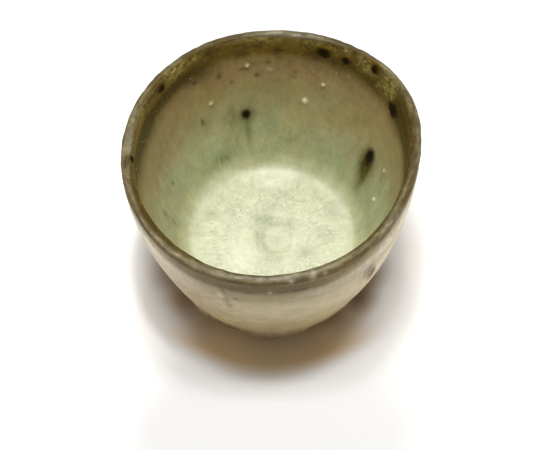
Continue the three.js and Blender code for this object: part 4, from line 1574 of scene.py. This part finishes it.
def hugging_shade(tree, where, tint):
    """The table's tint under the crescents of shade."""
    moved = vector(tree, "SUBTRACT", where, CRESCENT_MIDDLE)["Vector"]
    off = vector(tree, "LENGTH", moved)["Value"]
    spoke = vector(tree, "NORMALIZE", moved)["Vector"]
    for degrees, half, end, full, strength, shade in CRESCENTS:
        turn = math.radians(degrees)
        towards = (math.cos(turn), math.sin(turn), 0)
        turned = vector(tree, "DOT_PRODUCT", spoke, towards)["Value"]
        within = ease(tree, turned, math.cos(math.radians(half)), 1.0)
        share = times(tree, within, ease(tree, off, end * MM, full * MM), strength)
        tint = blend(tree, share, tint, blend(tree, 1.0, tint, shade, "MULTIPLY"))
    return tint


def add_table(studio):
    """A white table that keeps the cup's shadow, with more shade painted round the foot to the camera."""
    signs = ((-1, -1), (1, -1), (1, 1), (-1, 1))
    corners = [(x * TABLE_REACH, y * TABLE_REACH, -TABLE_DROP) for x, y in signs]
    mesh = bpy.data.meshes.new("table")
    mesh.from_pydata(corners, [], [(0, 1, 2, 3)])
    table = bpy.data.objects.new("table", mesh)
    bpy.context.scene.collection.objects.link(table)
    material = bpy.data.materials.new("white table")
    material.use_nodes = True
    tree = material.node_tree
    tree.nodes.clear()
    where = own_places(tree)
    off = vector(tree, "LENGTH", where)["Value"]
    spoke = vector(tree, "NORMALIZE", where)["Vector"]
    facing = add_node(tree, "ShaderNodeSeparateXYZ", {0: spoke}).outputs
    in_front = ease(tree, facing["Y"], *MINUS_SIDE)
    near_foot = blend(tree, in_front, (*studio.side_shade_tint, 1), (*studio.shade_tint, 1))
    beside = calculate(tree, "SUBTRACT", 1.0, in_front)
    drawn = calculate(tree, "SUBTRACT", off, times(tree, beside, SIDE_DRAW))
    tint = blend(tree, ease(tree, drawn, *SHADE_EDGE), near_foot, grey(studio.floor_seen))
    # Painted paler and darker bands of the table beyond the shade, by the left, the right and the front
    lift = 1.0
    lifts = (
        (ease(tree, facing["X"], *MINUS_SIDE), LEFT_EDGE, LEFT_LIFT),
        (ease(tree, facing["X"], *PLUS_SIDE), RIGHT_EDGE, RIGHT_LIFT),
        (in_front, FRONT_EDGE, FRONT_LIFT),
    )
    for side, edge, change in lifts:
        lift = calculate(tree, "ADD", lift, times(tree, side, ease(tree, off, *edge), change))
    tint = blend(tree, 1.0, tint, lift, "MULTIPLY")
    tint = hugging_shade(tree, where, tint)
    seen = add_node(tree, "ShaderNodeBsdfDiffuse", {"Color": tint})
    bounced = add_node(tree, "ShaderNodeBsdfDiffuse", {"Color": grey(TABLE_WHITE)})
    either = {0: seen_directly(tree), 1: bounced.outputs[0], 2: seen.outputs[0]}
    choice = add_node(tree, "ShaderNodeMixShader", either)
    add_node(tree, "ShaderNodeOutputMaterial", {"Surface": choice.outputs[0]})
    mesh.materials.append(material)


def add_room(studio):
    """Even light from all round, white where it is seen directly."""
    world = bpy.data.worlds.new("white room")
    world.use_nodes = True
    bpy.context.scene.world = world
    tree = world.node_tree
    background = tree.nodes["Background"]
    background.inputs["Color"].default_value = (1, 1, 1, 1)
    strength = spread(tree, seen_directly(tree), 0.0, 1.0, studio.room_light, 1.0)
    feed(tree, background.inputs["Strength"], strength)


def add_studio():
    scene = bpy.context.scene
    studio = scene.soba_choko_studio
    scene.view_settings.view_transform = "Standard"
    add_camera(studio)
    add_table(studio)
    add_room(studio)
    key_size = (studio.key_width, studio.key_depth)
    add_area_light("key strip", (0, 0, studio.key_height), (0, 0, 0), key_size, studio.key_power)
    reach = studio.card_reach
    aim = (0, 0, CARD_HEIGHT)
    add_area_light("left card", (-reach, 0, CARD_HEIGHT), aim, CARD_SIZE, studio.left_card_power)
    add_area_light("right card", (reach, 0, CARD_HEIGHT), aim, CARD_SIZE, studio.right_card_power)
    add_area_light("back soft", BACK_PLACE, BACK_AIM, BACK_SIZE, studio.back_power)


class SOBA_OT_studio(bpy.types.Operator):
    """Set up the table, the lights and the camera"""

    bl_idname = "soba_choko.studio"
    bl_label = "Studio"

    def execute(self, context):
        add_studio()
        return {"FINISHED"}


class SOBA_OT_clay_body(bpy.types.Operator):
    """Turn the clay body with its foot ring"""

    bl_idname = "soba_choko.clay_body"
    bl_label = "Clay body"

    def execute(self, context):
        add_clay_body()
        return {"FINISHED"}


class SOBA_OT_outside_glaze(bpy.types.Operator):
    """Lay the cream glaze on the outside"""

    bl_idname = "soba_choko.outside_glaze"
    bl_label = "Outside glaze"

    def execute(self, context):
        add_outside_glaze()
        return {"FINISHED"}


class SOBA_OT_rim_glaze(bpy.types.Operator):
    """Wrap the iron glaze over the lip"""

    bl_idname = "soba_choko.rim_glaze"
    bl_label = "Rim glaze"

    def execute(self, context):
        add_rim_glaze()
        return {"FINISHED"}


class SOBA_OT_inside_glaze(bpy.types.Operator):
    """Lay the grey-green glaze on the inside wall"""

    bl_idname = "soba_choko.inside_glaze"
    bl_label = "Inside glaze"

    def execute(self, context):
        add_inside_glaze()
        return {"FINISHED"}


class SOBA_OT_well_glaze(bpy.types.Operator):
    """Pool the pale glaze on the floor"""

    bl_idname = "soba_choko.well_glaze"
    bl_label = "Well glaze"

    def execute(self, context):
        add_well_glaze()
        return {"FINISHED"}


class SOBA_OT_iron_marks(bpy.types.Operator):
    """Set the iron runs and the iron spots"""

    bl_idname = "soba_choko.iron_marks"
    bl_label = "Iron marks"

    def execute(self, context):
        add_iron_marks()
        return {"FINISHED"}


class SOBA_OT_glaze_beads(bpy.types.Operator):
    """Set the raised beads of glaze"""

    bl_idname = "soba_choko.glaze_beads"
    bl_label = "Glaze beads"

    def execute(self, context):
        add_glaze_beads()
        return {"FINISHED"}


class SOBA_OT_outside_marks(bpy.types.Operator):
    """Set the run and the smear on the outside"""

    bl_idname = "soba_choko.outside_marks"
    bl_label = "Outside marks"

    def execute(self, context):
        add_outside_marks()
        return {"FINISHED"}


class SOBA_OT_kiln_specks(bpy.types.Operator):
    """Scatter the specks and pimples of the kiln over the coats"""

    bl_idname = "soba_choko.kiln_specks"
    bl_label = "Kiln specks"

    def execute(self, context):
        add_kiln_specks()
        return {"FINISHED"}


PROPERTY_GROUPS = (CupSizes, GlazeColours, StudioSettings)
OPERATORS = (
    SOBA_OT_studio,
    SOBA_OT_clay_body,
    SOBA_OT_outside_glaze,
    SOBA_OT_rim_glaze,
    SOBA_OT_inside_glaze,
    SOBA_OT_well_glaze,
    SOBA_OT_iron_marks,
    SOBA_OT_glaze_beads,
    SOBA_OT_outside_marks,
    SOBA_OT_kiln_specks,
)


class SOBA_PT_panel(bpy.types.Panel):
    """The steps of making the cup"""

    bl_label = "Soba Choko"
    bl_space_type = "VIEW_3D"
    bl_region_type = "UI"
    bl_category = "Soba Choko"

    def draw(self, context):
        for operator in OPERATORS:
            self.layout.operator(operator.bl_idname)


CLASSES = PROPERTY_GROUPS + OPERATORS + (SOBA_PT_panel,)


def register():
    for each in CLASSES:
        bpy.utils.register_class(each)
    bpy.types.Scene.soba_choko_sizes = PointerProperty(type=CupSizes)
    bpy.types.Scene.soba_choko_colours = PointerProperty(type=GlazeColours)
    bpy.types.Scene.soba_choko_studio = PointerProperty(type=StudioSettings)


def unregister():
    del bpy.types.Scene.soba_choko_studio
    del bpy.types.Scene.soba_choko_colours
    del bpy.types.Scene.soba_choko_sizes
    for each in reversed(CLASSES):
        bpy.utils.unregister_class(each)


def main():
    register()
    bpy.ops.soba_choko.studio()
    bpy.ops.soba_choko.clay_body()
    bpy.ops.soba_choko.outside_glaze()
    bpy.ops.soba_choko.rim_glaze()
    bpy.ops.soba_choko.inside_glaze()
    bpy.ops.soba_choko.well_glaze()
    bpy.ops.soba_choko.iron_marks()
    bpy.ops.soba_choko.glaze_beads()
    bpy.ops.soba_choko.outside_marks()
    bpy.ops.soba_choko.kiln_specks()


if __name__ == "__main__":
    main()
